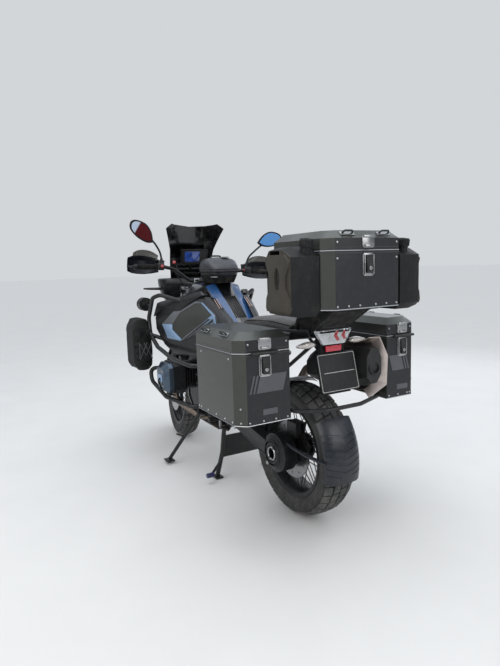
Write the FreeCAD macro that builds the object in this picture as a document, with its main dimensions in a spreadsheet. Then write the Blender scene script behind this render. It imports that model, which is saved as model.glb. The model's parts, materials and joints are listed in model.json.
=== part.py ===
import FreeCAD, Part
import math
import os
import Sketcher

# An adventure motorcycle with boxer engine, shaft drive, aluminium luggage and fuel cans,
# standing on its centre stand with the side stand let down.
# Frame: +X ahead, +Y to the rider's left, +Z up, ground at Z = 0, origin below the middle
# of the overall length. Lengths are millimetres, angles degrees.

V = FreeCAD.Vector
doc = FreeCAD.newDocument("adventure_motorcycle")

# Driving dimensions: alias, value, what it is
DIMENSIONS = [
    ("rear_axle_x", -676, "rear axle, from the middle of the overall length"),
    ("wheelbase", 1504, "front axle ahead of the rear axle"),
    ("rear_lift", 12, "rear tyre above the ground on the centre stand"),
    ("front_tyre_radius", 325, "120/70-19 tyre"),
    ("front_tyre_width", 120, "120/70-19 tyre"),
    ("front_bead_radius", 241, "19 inch bead seat"),
    ("rear_tyre_radius", 318, "170/60-17 tyre"),
    ("rear_tyre_width", 170, "170/60-17 tyre"),
    ("rear_bead_radius", 216, "17 inch bead seat"),
    ("rim_depth", 20, "rim section under the bead seat"),
    ("spoke_radius", 2.2, "wire spoke"),
    ("spoke_pairs", 10, "spokes of each of the four sets in a wheel"),
    ("front_disc_radius", 152, "front brake disc"),
    ("rear_disc_radius", 138, "rear brake disc"),
    ("disc_thickness", 5, "brake disc"),
    ("front_axle_radius", 12.5, "hollow front axle"),
    ("front_axle_bore", 9, "bore of the front axle"),
    ("rear_axle_radius", 32, "hollow output stub of the final drive"),
    ("rear_axle_bore", 25, "bore of the output stub"),
    ("running_gap", 0.4, "gap round axles, stems and hinge pins"),
    ("steer_rake", 24.9, "steering axis leans back from the vertical"),
    ("steer_offset", 50.3, "front axle ahead of the steering axis"),
    ("steer_rest", 10, "bars rest turned this far to the right"),
    ("fork_spacing", 104, "fork leg from the middle plane"),
    ("fork_ahead", 30, "fork legs ahead of the steering axis"),
    ("stanchion_radius", 18.5, "upper fork tube"),
    ("slider_radius", 26, "lower fork leg"),
    ("slider_top", 430, "top of the lower fork leg along the steering axis"),
    ("fork_top", 840, "top of the fork tubes along the steering axis"),
    ("stem_radius", 17, "steering stem"),
    ("brace_height", 396, "underside of the fork brace along the steering axis"),
    ("ball_stud_radius", 8, "stud between the wishbone and the fork brace"),
    ("bar_radius", 11, "handlebar tube"),
    ("grip_radius", 17, "rubber grip"),
    ("grip_length", 125, "rubber grip"),
    ("bar_end", 432, "end of the handlebar from the middle plane"),
    ("bar_rise", 138.3, "grips above the fork's upper bridge"),
    ("mirror_out", 410, "mirror glass from the middle plane"),
    ("mirror_rise", 207, "mirror glass above the grips"),
    ("engine_width", 300, "crankcase across"),
    ("engine_ahead", 560, "back of the crankcase ahead of the rear axle"),
    ("engine_length", 440, "crankcase"),
    ("engine_bottom", 335, "sump above the ground"),
    ("engine_height", 365, "crankcase"),
    ("cylinder_ahead", 920, "cylinder axis ahead of the rear axle"),
    ("cylinder_height", 560, "cylinder axis above the ground"),
    ("cylinder_reach", 372, "valve cover from the middle plane"),
    ("barrel_radius", 62, "cylinder barrel"),
    ("fin_count", 5, "cooling fins on a barrel"),
    ("frame_tube_radius", 15, "main frame tube"),
    ("rack_tube_radius", 9, "luggage rack tube"),
    ("guard_tube_radius", 12.5, "crash bar tube"),
    ("guard_reach", 350, "crash bars from the middle plane"),
    ("pivot_ahead", 500, "swingarm pivot ahead of the rear axle"),
    ("pivot_height", 400, "swingarm pivot above the ground"),
    ("drive_radius", 92, "final drive housing"),
    ("drive_inner", 88, "final drive housing from the middle plane"),
    ("drive_outer", 166, "final drive cover from the middle plane"),
    ("wall", 2.5, "sheet wall of the cases"),
    ("case_bevel", 40, "cut corners of the cases"),
    ("lid_bevel", 30, "sloped edge of the lids"),
    ("seam_gap", 0.6, "lid above its case"),
    ("hinge_out", 9, "lid hinge pin outside its case"),
    ("hinge_pin_radius", 3, "lid hinge pin"),
    ("hinge_ear", 6.5, "lid hinge knuckle radius"),
    ("pannier_length", 420, "pannier fore and aft"),
    ("pannier_rear", -277, "pannier's back from the rear axle"),
    ("pannier_inner", 243, "pannier's inner wall from the middle plane"),
    ("pannier_outer", 484, "pannier's outer wall from the middle plane"),
    ("pannier_bottom", 579, "pannier above the ground"),
    ("pannier_body", 288, "pannier body height"),
    ("pannier_lid", 84, "pannier lid height"),
    ("silencer_recess", 47, "step in the right pannier's inner wall"),
    ("top_case_length", 400, "top case fore and aft"),
    ("top_case_rear", -474, "top case's back from the rear axle"),
    ("top_case_half", 200, "top case from the middle plane"),
    ("top_case_bottom", 1030, "top case above the ground"),
    ("top_case_body", 221, "top case body height"),
    ("top_case_lid", 79, "top case lid height"),
    ("can_width", 190, "fuel can fore and aft"),
    ("can_depth", 122, "fuel can across"),
    ("can_height", 266, "fuel can without its cap"),
    ("can_bottom", 1008, "fuel can above the ground"),
    ("can_rear", -438, "fuel can's back from the rear axle"),
    ("can_holder", 6, "holder plate between top case and fuel can"),
    ("stand_pivot_ahead", 560, "centre stand pivot ahead of the rear axle"),
    ("stand_pivot_height", 300, "centre stand pivot above the ground"),
    ("stand_foot_ahead", 52, "centre stand feet ahead of its pivot"),
    ("stand_foot_out", 168, "centre stand feet from the middle plane"),
    ("stand_pin_radius", 8, "centre stand pivot pin"),
    ("side_pivot_ahead", 790, "side stand pivot ahead of the rear axle"),
    ("side_pivot_out", 178, "side stand pivot from the middle plane"),
    ("side_pivot_height", 350, "side stand pivot above the ground"),
    ("side_foot_ahead", 985, "side stand foot ahead of the rear axle"),
    ("side_foot_out", 320, "side stand foot from the middle plane"),
    ("side_foot_height", 22, "side stand foot above the ground"),
    ("side_leg_radius", 11, "side stand leg"),
    ("skid_drop", 62, "skid plate below the sump"),
    ("screen_thickness", 4, "windscreen"),
    ("plate_size", 205, "number plate width"),
    ("plate_shift", -12, "number plate's middle from the middle plane"),
    ("flap_gap", 13, "rear flap above the tyre"),
    ("panel_depth", 42, "side panel from its face to its back"),
    ("left_mirror_tilt", 32, "left mirror, outer end up"),
    ("right_mirror_tilt", 6, "right mirror, outer end up"),
    ("silencer_out", 192, "silencer's axis from the middle plane"),
]
sheet = doc.addObject("Spreadsheet::Sheet", "Sizes")
for row, (alias, value, note) in enumerate(DIMENSIONS, start=1):
    sheet.set(f"A{row}", note)
    sheet.set(f"B{row}", str(value))
    sheet.setAlias(f"B{row}", alias)
doc.recompute()


class Sizes:
    """The sheet's values as attributes."""

    def __getattr__(self, alias):
        return float(sheet.get(alias))


S = Sizes()

# Places worked out from the driving dimensions
REAR_Z = S.rear_tyre_radius + S.rear_lift
FRONT_Z = S.front_tyre_radius
RAKE = math.radians(S.steer_rake)
STEER_UP = V(-math.sin(RAKE), 0, math.cos(RAKE))
STEER_AHEAD = V(math.cos(RAKE), 0, math.sin(RAKE))


# A longer or shorter wheelbase is shared out between the swingarm pivot and the steering head, and what
# lies further ahead goes with the front axle
PIVOT_AHEAD = 480
HEAD_AHEAD = 1100
HEAD_BEHIND = 404


def ahead(distance):
    """X of a place this far ahead of the rear axle, the head lying this far behind the front axle."""
    longer = S.wheelbase - HEAD_BEHIND - HEAD_AHEAD
    share = max(0.0, min(1.0, (distance - PIVOT_AHEAD) / (HEAD_AHEAD - PIVOT_AHEAD)))
    return S.rear_axle_x + distance + longer * share


FRONT_AXLE = V(S.rear_axle_x + S.wheelbase, 0, FRONT_Z)
REAR_AXLE = V(ahead(0), 0, REAR_Z)
STEER_FOOT = FRONT_AXLE - STEER_AHEAD * S.steer_offset
SIDES = (("left", 1), ("right", -1))


def steer_point(forward, out, up):
    """A point given along the steering axis from the foot level with the front axle."""
    return STEER_FOOT + STEER_AHEAD * forward + V(0, out, 0) + STEER_UP * up


# Shape helpers


def box(x0, x1, y0, y1, z0, z1):
    low = V(min(x0, x1), min(y0, y1), min(z0, z1))
    return Part.makeBox(abs(x1 - x0), abs(y1 - y0), abs(z1 - z0), low)


def rod(start, end, radius):
    return Part.makeCylinder(radius, (end - start).Length, start, end - start)


def ring(start, end, radius, bore):
    axis = (end - start).normalize()
    return rod(start, end, radius).cut(rod(start - axis, end + axis, bore))


def outline(points):
    return Part.makePolygon(list(points) + [points[0]])


def slab(points, direction):
    """A flat outline of 3-D points, thickened along a direction."""
    return Part.Face(outline(points)).extrude(direction)


def side_plate(points, y0, y1):
    """An outline of (distance ahead of the rear axle, height), thick from y0 to y1."""
    return slab([V(ahead(x), y0, z) for x, z in points], V(0, y1 - y0, 0))


def loft(sections):
    return Part.makeLoft([outline(s) for s in sections], True, True)


def path(points, bend):
    """Straight runs joined by tangent arcs."""
    edges = []
    start = points[0]
    for before, corner, after in zip(points, points[1:], points[2:]):
        a = (before - corner).normalize()
        b = (after - corner).normalize()
        half = a.getAngle(b) / 2
        room = 0.45 * min((before - corner).Length, (after - corner).Length)
        reach = min(bend / math.tan(half), room)
        radius = reach * math.tan(half)
        middle = corner + (a + b).normalize() * (radius / math.sin(half) - radius)
        edges.append(Part.LineSegment(start, corner + a * reach).toShape())
        edges.append(Part.Arc(corner + a * reach, middle, corner + b * reach).toShape())
        start = corner + b * reach
    edges.append(Part.LineSegment(start, points[-1]).toShape())
    return Part.Wire(edges)


def tube(points, radius, bend=40):
    """A round bar bent along the points."""
    wire = path(points, bend)
    section = Part.Wire(Part.makeCircle(radius, points[0], points[1] - points[0]))
    return wire.makePipeShell([section], True, True)


def mirrored(shape):
    return shape.mirror(V(0, 0, 0), V(0, 1, 0))


def fused(shapes):
    whole = shapes[0].multiFuse(shapes[1:]) if len(shapes) > 1 else shapes[0]
    return whole.removeSplitter()


def both_sides(shape):
    return Part.makeCompound([shape, mirrored(shape)])


# Document helpers


def bind(item, **sizes):
    """Ties properties to expressions on the sheet's aliases."""
    for name, expression in sizes.items():
        item.setExpression(name, expression)
    return item


def piece(label, shape, tools=()):
    """A node whose shape is worked out here, with room cut for the pieces it seats on."""
    for tool in tools:
        shape = shape.cut(tool.Shape if hasattr(tool, "Shape") else tool)
    item = doc.addObject("Part::Feature", label)
    item.Shape = shape
    NODES.append(item)
    return item


def datum(body, role):
    return next(f for f in body.Origin.OriginFeatures if f.Role == role)


def sketch(body, name, role, offset=0.0):
    item = body.newObject("Sketcher::SketchObject", name)
    item.AttachmentSupport = [(datum(body, role), "")]
    item.MapMode = "FlatFace"
    item.AttachmentOffset = FreeCAD.Placement(V(0, 0, offset), FreeCAD.Rotation())
    return item


def closed_outline(item, points):
    """Lines through (x, y) points, each held by its two distances from the sketch's origin."""
    first = item.GeometryCount
    count = len(points)
    for i, (x, y) in enumerate(points):
        nx, ny = points[(i + 1) % count]
        item.addGeometry(Part.LineSegment(V(x, y, 0), V(nx, ny, 0)), False)
    for i, (x, y) in enumerate(points):
        item.addConstraint(Sketcher.Constraint("Coincident", first + (i - 1) % count, 2, first + i, 1))
        for kind, value, axis in (("DistanceX", x, -2), ("DistanceY", y, -1)):
            if abs(value) < 1e-9:
                item.addConstraint(Sketcher.Constraint("PointOnObject", first + i, 1, axis))
            else:
                item.addConstraint(Sketcher.Constraint(kind, -1, 1, first + i, 1, value))
    return item


def circle(item, x, y, radius_alias):
    """A round outline whose radius follows the sheet."""
    index = item.addGeometry(Part.Circle(V(x, y, 0), V(0, 0, 1), getattr(S, radius_alias)), False)
    item.addConstraint(Sketcher.Constraint("Coincident", index, 3, -1, 1))
    number = item.addConstraint(Sketcher.Constraint("Radius", index, getattr(S, radius_alias)))
    item.setExpression(f"Constraints[{number}]", f"Sizes.{radius_alias}")
    return item


def revolved_body(label, points, centre):
    """A PartDesign body: an outline of (radius, y) points turned once round the Y axis."""
    body = doc.addObject("PartDesign::Body", label)
    profile = closed_outline(sketch(body, label + "_section", "XY_Plane"), points)
    turn = body.newObject("PartDesign::Revolution", label + "_turn")
    turn.Profile = profile
    turn.ReferenceAxis = (profile, ["V_Axis"])
    turn.Angle = 360
    body.Placement = FreeCAD.Placement(centre, FreeCAD.Rotation())
    doc.recompute()
    return body


def steered(item):
    """Turns a piece of the steering with the bars, about the steering axis."""
    turn = FreeCAD.Rotation(STEER_UP, -S.steer_rest)
    item.Placement = FreeCAD.Placement(V(), turn, STEER_FOOT).multiply(item.Placement)
    return item


NODES = []

# Wheels

# share of half the tyre's width, share of the height from bead to crown
TYRE_SECTION = [(0.64, 0.0), (0.82, 0.20), (1.0, 0.52), (0.95, 0.72), (0.72, 0.89), (0.36, 0.98),
                (0.0, 1.0)]
FLANGE_SHARE = 0.13


def tyre_points(radius, width, bead):
    half = [(bead + (radius - bead) * up, width / 2 * out) for out, up in TYRE_SECTION]
    return half + [(r, -y) for r, y in reversed(half[:-1])]


def rim_points(radius, width, bead):
    """Ring under the tyre whose flanges lie against the lowest part of its sidewalls."""
    foot = width / 2 * TYRE_SECTION[0][0]
    slope = (width / 2 * TYRE_SECTION[1][0] - foot) / TYRE_SECTION[1][1]
    tip = (bead + (radius - bead) * FLANGE_SHARE, foot + slope * FLANGE_SHARE)
    deep = bead - S.rim_depth
    half = [(deep, 0.0), (deep, foot * 0.35), (bead - 8, foot * 0.75), (bead - 7, foot + 8),
            (tip[0], tip[1] + 4), tip, (bead, foot)]
    return half[1:] + [(r, -y) for r, y in reversed(half[1:])]


def spokes(hub_flange, hub_half, rim_radius, rim_half, count, lead):
    """Four sets of wire spokes, laced alternately ahead of and behind the radius."""
    wires = []
    pitch = 360.0 / count
    for side in (1, -1):
        for lean in (1, -1):
            for i in range(count):
                foot = math.radians(i * pitch + (pitch / 4 if side > 0 else -pitch / 4) + lean * pitch / 9)
                tip = foot + lean * math.radians(lead)
                a = V(math.cos(foot) * hub_flange, side * hub_half + lean * 2.5,
                      math.sin(foot) * hub_flange)
                b = V(math.cos(tip) * rim_radius, side * rim_half, math.sin(tip) * rim_radius)
                wires.append(rod(a, b, S.spoke_radius))
    return wires


def turned(points, centre):
    """A solid of revolution about the Y axis from (radius, y) points."""
    face = Part.Face(outline([V(r, y, 0) for r, y in points]))
    solid = face.revolve(V(), V(0, 1, 0), 360)
    solid.translate(centre)
    return solid


def wheel(label, radius, width, bead, hub, flange, flange_half, centre):
    rim = turned(rim_points(radius, width, bead), V())
    middle = turned(hub, V())
    wires = spokes(flange, flange_half, bead - S.rim_depth / 4, width * 0.19, int(S.spoke_pairs), 30)
    whole = rim.multiFuse([middle] + wires)
    whole.translate(centre)
    return piece(label, whole)


front_tyre = revolved_body("front_tyre", tyre_points(S.front_tyre_radius, S.front_tyre_width,
                                                     S.front_bead_radius), FRONT_AXLE)
rear_tyre = revolved_body("rear_tyre", tyre_points(S.rear_tyre_radius, S.rear_tyre_width,
                                                   S.rear_bead_radius), REAR_AXLE)
NODES += [front_tyre, rear_tyre]

FRONT_HUB_HALF = 72
front_bore = S.front_axle_radius + S.running_gap
front_hub = [(front_bore, -FRONT_HUB_HALF), (34, -FRONT_HUB_HALF), (34, -44), (46, -44), (46, -34),
             (27, -28), (27, 28), (46, 34), (46, 44), (34, 44), (34, FRONT_HUB_HALF),
             (front_bore, FRONT_HUB_HALF)]
front_wheel = wheel("front_wheel", S.front_tyre_radius, S.front_tyre_width, S.front_bead_radius, front_hub,
                    41, 38, FRONT_AXLE)

REAR_HUB_LEFT = 58
rear_bore = S.rear_axle_radius + S.running_gap
rear_hub = [(rear_bore, -46), (46, -46), (62, -38), (62, -27), (46, -22), (46, 22), (62, 26), (62, 37),
            (76, 46), (76, REAR_HUB_LEFT), (rear_bore, REAR_HUB_LEFT)]
rear_wheel = wheel("rear_wheel", S.rear_tyre_radius, S.rear_tyre_width, S.rear_bead_radius, rear_hub, 56,
                   31, REAR_AXLE)


def brake_disc(label, radius_alias, inner, near_y, centre, holes):
    """A drilled disc on its carrier, padded outwards from near_y."""
    body = doc.addObject("PartDesign::Body", label)
    ring_face = circle(sketch(body, label + "_outer", "XZ_Plane"), 0, 0, radius_alias)
    ring_face.addGeometry(Part.Circle(V(0, 0, 0), V(0, 0, 1), inner), False)
    ring_face.addConstraint(Sketcher.Constraint("Coincident", 1, 3, -1, 1))
    ring_face.addConstraint(Sketcher.Constraint("Radius", 1, inner))
    pad = body.newObject("PartDesign::Pad", label + "_pad")
    pad.Profile = ring_face
    bind(pad, Length="Sizes.disc_thickness")
    doc.recompute()
    drill = sketch(body, label + "_hole", "XZ_Plane")
    drill.addGeometry(Part.Circle(V(getattr(S, radius_alias) - 22, 0, 0), V(0, 0, 1), 5), False)
    drill.addConstraint(Sketcher.Constraint("Radius", 0, 5))
    number = drill.addConstraint(Sketcher.Constraint("DistanceX", -1, 1, 0, 3,
                                                     getattr(S, radius_alias) - 22))
    drill.setExpression(f"Constraints[{number}]", f"Sizes.{radius_alias} - 22")
    drill.addConstraint(Sketcher.Constraint("PointOnObject", 0, 3, -1))
    cut = body.newObject("PartDesign::Pocket", label + "_pocket")
    cut.Profile = drill
    cut.Type = "ThroughAll"
    cut.Midplane = True
    doc.recompute()
    pattern = body.newObject("PartDesign::PolarPattern", label + "_holes")
    pattern.Originals = [cut]
    pattern.Axis = (drill, ["N_Axis"])
    pattern.Angle = 360
    pattern.Occurrences = holes
    body.Tip = pattern
    doc.recompute()
    body.Placement = FreeCAD.Placement(centre + V(0, near_y + S.disc_thickness, 0), FreeCAD.Rotation())
    return body


front_discs = [brake_disc(f"front_disc_{side}", "front_disc_radius", 34.0,
                          FRONT_HUB_HALF - S.disc_thickness - 6 if sign > 0 else -(FRONT_HUB_HALF - 6),
                          FRONT_AXLE, 12) for side, sign in SIDES]
rear_disc = brake_disc("rear_disc", "rear_disc_radius", 76.0, REAR_HUB_LEFT - S.disc_thickness - 1,
                       REAR_AXLE, 12)
NODES.append(rear_disc)
doc.recompute()
front_disc_pair = piece("front_discs", Part.makeCompound([d.Shape.copy() for d in front_discs]))

# Steering: fork, bars, mudguard, mirrors and hand guards, built straight ahead and then turned

front_axle_half = S.fork_spacing + S.slider_radius + 4
front_axle = rod(FRONT_AXLE - V(0, front_axle_half, 0), FRONT_AXLE + V(0, front_axle_half, 0),
                 S.front_axle_radius)
axle_bore = rod(FRONT_AXLE - V(0, 200, 0), FRONT_AXLE + V(0, 200, 0), S.front_axle_bore)
sliders = []
for name, side in SIDES:
    leg = rod(steer_point(S.fork_ahead, side * S.fork_spacing, -16),
              steer_point(S.fork_ahead, side * S.fork_spacing, S.slider_top), S.slider_radius)
    lug = rod(FRONT_AXLE + V(0, side * (S.fork_spacing - 22), 0),
              FRONT_AXLE + V(0, side * (S.fork_spacing + 24), 0), 24)
    sliders += [leg, lug]
brace_level = S.brace_height
brace = slab([steer_point(x, y, brace_level) for x, y in ((-30, -40), (-30, 40), (10, S.fork_spacing),
                                                          (48, S.fork_spacing), (48, -S.fork_spacing),
                                                          (10, -S.fork_spacing))], STEER_UP * 26)
stud_room = rod(steer_point(0, 0, brace_level - 5), steer_point(0, 0, brace_level + 30),
                S.ball_stud_radius + S.running_gap)
lower_fork = fused(sliders + [brace]).cut(stud_room)
stanchion_room = [rod(steer_point(S.fork_ahead, s * S.fork_spacing, S.slider_top - 60),
                      steer_point(S.fork_ahead, s * S.fork_spacing, S.slider_top + 1), S.stanchion_radius)
                  for s in (1, -1)]

CALIPER_NEAR = 100
CALIPER_FAR = 178
calipers = []
for name, side in SIDES:
    disc_y = FRONT_HUB_HALF - 6 - S.disc_thickness / 2
    block = box(CALIPER_NEAR, CALIPER_FAR, disc_y - 19, S.fork_spacing - S.slider_radius + 4, -46, 46)
    block = block.cut(box(CALIPER_NEAR - 1, S.front_disc_radius + 6, disc_y - 7, disc_y + 7, -47, 47))
    block = block if side > 0 else mirrored(block)
    block.rotate(V(), V(0, 1, 0), -142)
    block.translate(FRONT_AXLE)
    calipers.append(block)
lower_fork = fused([lower_fork, front_axle] + calipers).cut(axle_bore)
lower_fork = piece("fork_sliders", lower_fork, stanchion_room)
tube_low = S.slider_top - 60
stanchion_ends = [[steer_point(S.fork_ahead, s * S.fork_spacing, z) for z in (tube_low, S.fork_top)]
                  for s in (1, -1)]
stanchions = piece("fork_tubes", Part.makeCompound([rod(low, high, S.stanchion_radius)
                                                    for low, high in stanchion_ends]))
bridge_level = S.fork_top - 34
bridge = slab([steer_point(x, y, bridge_level) for x, y in ((-34, -34), (-34, 34), (6, S.fork_spacing + 24),
                                                            (56, S.fork_spacing + 24),
                                                            (56, -S.fork_spacing - 24),
                                                            (6, -S.fork_spacing - 24))], STEER_UP * 24)
stem = rod(steer_point(0, 0, bridge_level - 96), steer_point(0, 0, bridge_level), S.stem_radius)
BAR_AHEAD = -6
clamp_level = bridge_level + 24
CLAMP_TALL = 85
bar_clamps = [rod(steer_point(BAR_AHEAD, s * 42, clamp_level),
                  steer_point(BAR_AHEAD, s * 42, clamp_level + CLAMP_TALL), 17) for s in (1, -1)]
bar_middle = steer_point(BAR_AHEAD, 0, clamp_level + CLAMP_TALL - S.bar_radius - 4)
bar_height = steer_point(0, 0, clamp_level).z + S.bar_rise
bar_tip = V(bar_middle.x - 96, S.bar_end, bar_height - 4)
half_bar = [bar_middle, bar_middle + V(0, 85, 0), V(bar_middle.x - 22, 195, bar_height - 6),
            V(bar_middle.x - 48, 262, bar_height + 2), bar_tip]
bar_points = [V(p.x, -p.y, p.z) for p in reversed(half_bar[1:])] + half_bar[1:]
bar_shape = tube(bar_points, S.bar_radius, 60)
handlebar = piece("handlebar", fused([bridge, stem, bar_shape] + bar_clamps), [stanchions])

bar_out = (bar_tip - half_bar[3]).normalize()
grip_in = bar_tip - bar_out * S.grip_length
grip = ring(grip_in, bar_tip, S.grip_radius, S.bar_radius)
switch_in = grip_in - bar_out * 52
switch = ring(switch_in, grip_in - bar_out * 4, 24, S.bar_radius)
reservoir = rod(switch_in + bar_out * 14 + V(34, 0, 8), switch_in + bar_out * 14 + V(34, 0, 42), 22)
lever = tube([switch_in + V(4, 12, 0), switch_in + V(58, 34, -4), bar_tip + V(52, -10, -8)], 6, 30)
controls = piece("bar_controls", both_sides(fused([grip, switch, reservoir, lever])), [handlebar])
mirror_foot = switch_in + bar_out * 12 + V(0, 0, 24)
mirror_middle = V(bar_tip.x - 28, S.mirror_out, bar_height + S.mirror_rise)
mirror_arm = tube([mirror_foot, mirror_foot + V(-6, 12, 62), mirror_middle + V(24, -78, -62),
                   mirror_middle + V(22, 0, 0)], 6, 30)
GLASS = [(-88, -18), (-58, -40), (0, -46), (58, -30), (78, 6), (56, 34), (0, 46), (-50, 24)]
mirror_head = loft([[mirror_middle + V(8, y, z) for y, z in GLASS],
                    [mirror_middle + V(34, y * 0.6, z * 0.55) for y, z in GLASS]])
mirror_glass = slab([mirror_middle + V(5, y * 0.93, z * 0.92) for y, z in GLASS], V(3, 0, 0))
mirror_knuckle = rod(mirror_middle + V(12, 0, 0), mirror_middle + V(30, 0, 0), 12)


def mirror(tilt):
    """Arm and head of a left mirror, the head turned on its knuckle, outer end up by the tilt."""
    head = mirror_head.fuse(mirror_glass)
    head.rotate(mirror_middle, V(1, 0, 0), tilt)
    return fused([mirror_arm, mirror_knuckle, head])


mirrors = piece("mirrors", Part.makeCompound([mirror(S.left_mirror_tilt),
                                              mirrored(mirror(S.right_mirror_tilt))]), [controls])

# Hand guard: a curved shield ahead of the grip and a tube that ends on the bar's tip
shield_x = bar_middle.x + 14


def guard_section(y, x, tall, deep):
    middle = bar_height + 4
    return [V(x, y, middle - tall), V(x + deep, y, middle - tall * 0.4),
            V(x + deep, y, middle + tall * 0.7), V(x - 14, y, middle + tall * 1.25),
            V(x - 18, y, middle + tall * 1.2), V(x + deep - 5, y, middle + tall * 0.66),
            V(x + deep - 5, y, middle - tall * 0.4), V(x - 4, y, middle - tall)]


shield = loft([guard_section(S.bar_end - 152, shield_x + 10, 34, 12),
               guard_section(S.bar_end - 60, shield_x + 8, 50, 16),
               guard_section(S.bar_end + 22, shield_x - 34, 46, 16),
               guard_section(S.bar_end + 54, shield_x - 88, 36, 12)])
guard_arm = tube([bar_tip, bar_tip + bar_out * 34, bar_tip + V(52, 52, 0),
                  V(shield_x - 2, S.bar_end - 10, bar_height + 4)], 7, 18)
hand_guards = piece("hand_guards", both_sides(fused([shield, guard_arm])), [handlebar, controls])

# Front mudguard: a shell over the tyre carried by the sliders
MUDGUARD_GAP = 20


def arc_shell(centre, radius, thickness, half_width, start, end, drop):
    """A curved plate round the Y axis from one angle to another, its edges turned in by drop."""
    rim = [V(radius - drop, -half_width, 0), V(radius, -half_width * 0.62, 0),
           V(radius, half_width * 0.62, 0), V(radius - drop, half_width, 0),
           V(radius - drop + thickness, half_width, 0), V(radius + thickness, half_width * 0.66, 0),
           V(radius + thickness, -half_width * 0.66, 0), V(radius - drop + thickness, -half_width, 0)]
    face = Part.Face(outline(rim))
    face.rotate(V(), V(0, 1, 0), -start)
    shell = face.revolve(V(), V(0, 1, 0), -(end - start))
    shell.translate(centre)
    return shell


mudguard_radius = S.front_tyre_radius + MUDGUARD_GAP
front_mudguard = arc_shell(FRONT_AXLE, mudguard_radius, 3, 74, 22, 150, 18)
mudguard_feet = [rod(steer_point(S.fork_ahead, s * 62, 331),
                     steer_point(S.fork_ahead, s * (S.fork_spacing - 20), 331), 9) for s in (1, -1)]
front_mudguard = piece("front_mudguard", fused([front_mudguard] + mudguard_feet), [lower_fork])
steering_nodes = [lower_fork, stanchions, handlebar, controls, mirrors, hand_guards, front_mudguard]

# Engine: crankcase, barrels with fins, heads and valve covers

crank_profile = [(S.engine_ahead, S.engine_bottom + 70), (S.engine_ahead + 60, S.engine_bottom),
                 (S.engine_ahead + S.engine_length - 60, S.engine_bottom),
                 (S.engine_ahead + S.engine_length, S.engine_bottom + 80),
                 (S.engine_ahead + S.engine_length, S.engine_bottom + S.engine_height - 60),
                 (S.engine_ahead + S.engine_length - 80, S.engine_bottom + S.engine_height),
                 (S.engine_ahead, S.engine_bottom + S.engine_height - 40)]
crankcase = side_plate(crank_profile, -S.engine_width / 2, S.engine_width / 2)
cover_x = ahead(S.engine_ahead + S.engine_length)
front_cover = rod(V(cover_x, 0, S.cylinder_height - 30), V(cover_x + 26, 0, S.cylinder_height - 30), 88)
engine_block = piece("engine_block", crankcase.fuse(front_cover))

barrel_foot = S.engine_width / 2
HEAD_FACE = 244
COVER_FACE = 318
cylinder_x = ahead(S.cylinder_ahead)


def engine_side(y0, y1, half_x, low, high, bevel):
    """Outline of a head or cover at y0 extruded to y1, with cut corners."""
    z = S.cylinder_height
    points = [(-half_x + bevel, low), (half_x - bevel, low), (half_x, low + bevel), (half_x, high - bevel),
              (half_x - bevel, high), (-half_x + bevel, high), (-half_x, high - bevel),
              (-half_x, low + bevel)]
    return [V(cylinder_x + x, y0, z + dz) for x, dz in points]


barrel = [rod(V(cylinder_x, barrel_foot, S.cylinder_height), V(cylinder_x, HEAD_FACE, S.cylinder_height),
              S.barrel_radius)]
fin_pitch = (HEAD_FACE - barrel_foot) / (S.fin_count + 0.5)
for i in range(int(S.fin_count)):
    y = barrel_foot + fin_pitch * (i + 0.6)
    barrel.append(slab(engine_side(y, y, 80, -78, 78, 18), V(0, 5, 0)))
head = slab(engine_side(HEAD_FACE, HEAD_FACE, 84, -92, 92, 22), V(0, COVER_FACE - HEAD_FACE, 0))
cover = loft([engine_side(COVER_FACE, 0, 80, -88, 88, 24), engine_side(COVER_FACE + 26, 0, 80, -88, 88, 24),
              engine_side(S.cylinder_reach, 0, 56, -62, 62, 20)])
cylinders = piece("cylinders", both_sides(fused(barrel + [head, cover])))

# Frame

head_low = steer_point(0, 0, bridge_level - 92)
head_high = steer_point(0, 0, bridge_level - 6)
head_tube = rod(head_low, head_high, 34)
frame_tubes = []
for name, side in SIDES:
    frame_tubes.append(tube([head_low + V(-6, side * 18, 20), V(ahead(1000), side * 78, 880),
                             V(ahead(640), side * 105, 740), V(ahead(500), side * 105, 560),
                             V(ahead(500), side * 105, 380)], S.frame_tube_radius, 90))
    frame_tubes.append(tube([head_low + V(8, side * 20, 6), V(ahead(1040), side * 92, 790),
                             V(ahead(980), side * 100, 690), V(ahead(900), side * 110, 640)],
                            S.frame_tube_radius, 60))
pivot_tube = rod(V(ahead(S.pivot_ahead), -118, S.pivot_height),
                 V(ahead(S.pivot_ahead), 118, S.pivot_height), 22)
stand_lugs = [side_plate([(S.pivot_ahead - 20, S.pivot_height - 10),
                          (S.pivot_ahead + 20, S.pivot_height - 10),
                          (S.stand_pivot_ahead + 24, S.stand_pivot_height - 4),
                          (S.stand_pivot_ahead, S.stand_pivot_height - 22),
                          (S.stand_pivot_ahead - 24, S.stand_pivot_height - 4)], s * 110, s * 118)
              for s in (1, -1)]
pin_room = rod(V(ahead(S.stand_pivot_ahead), -130, S.stand_pivot_height),
               V(ahead(S.stand_pivot_ahead), 130, S.stand_pivot_height), S.stand_pin_radius + S.running_gap)
stem_room = rod(steer_point(0, 0, bridge_level - 130), steer_point(0, 0, bridge_level + 10),
                S.stem_radius + S.running_gap)
strut_low = V(ahead(1125), 0, 608)
strut_high = V(ahead(1112), 0, 912)
strut_bar = rod(strut_high - V(0, 48, 0), strut_high + V(0, 48, 0), 9)

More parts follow.
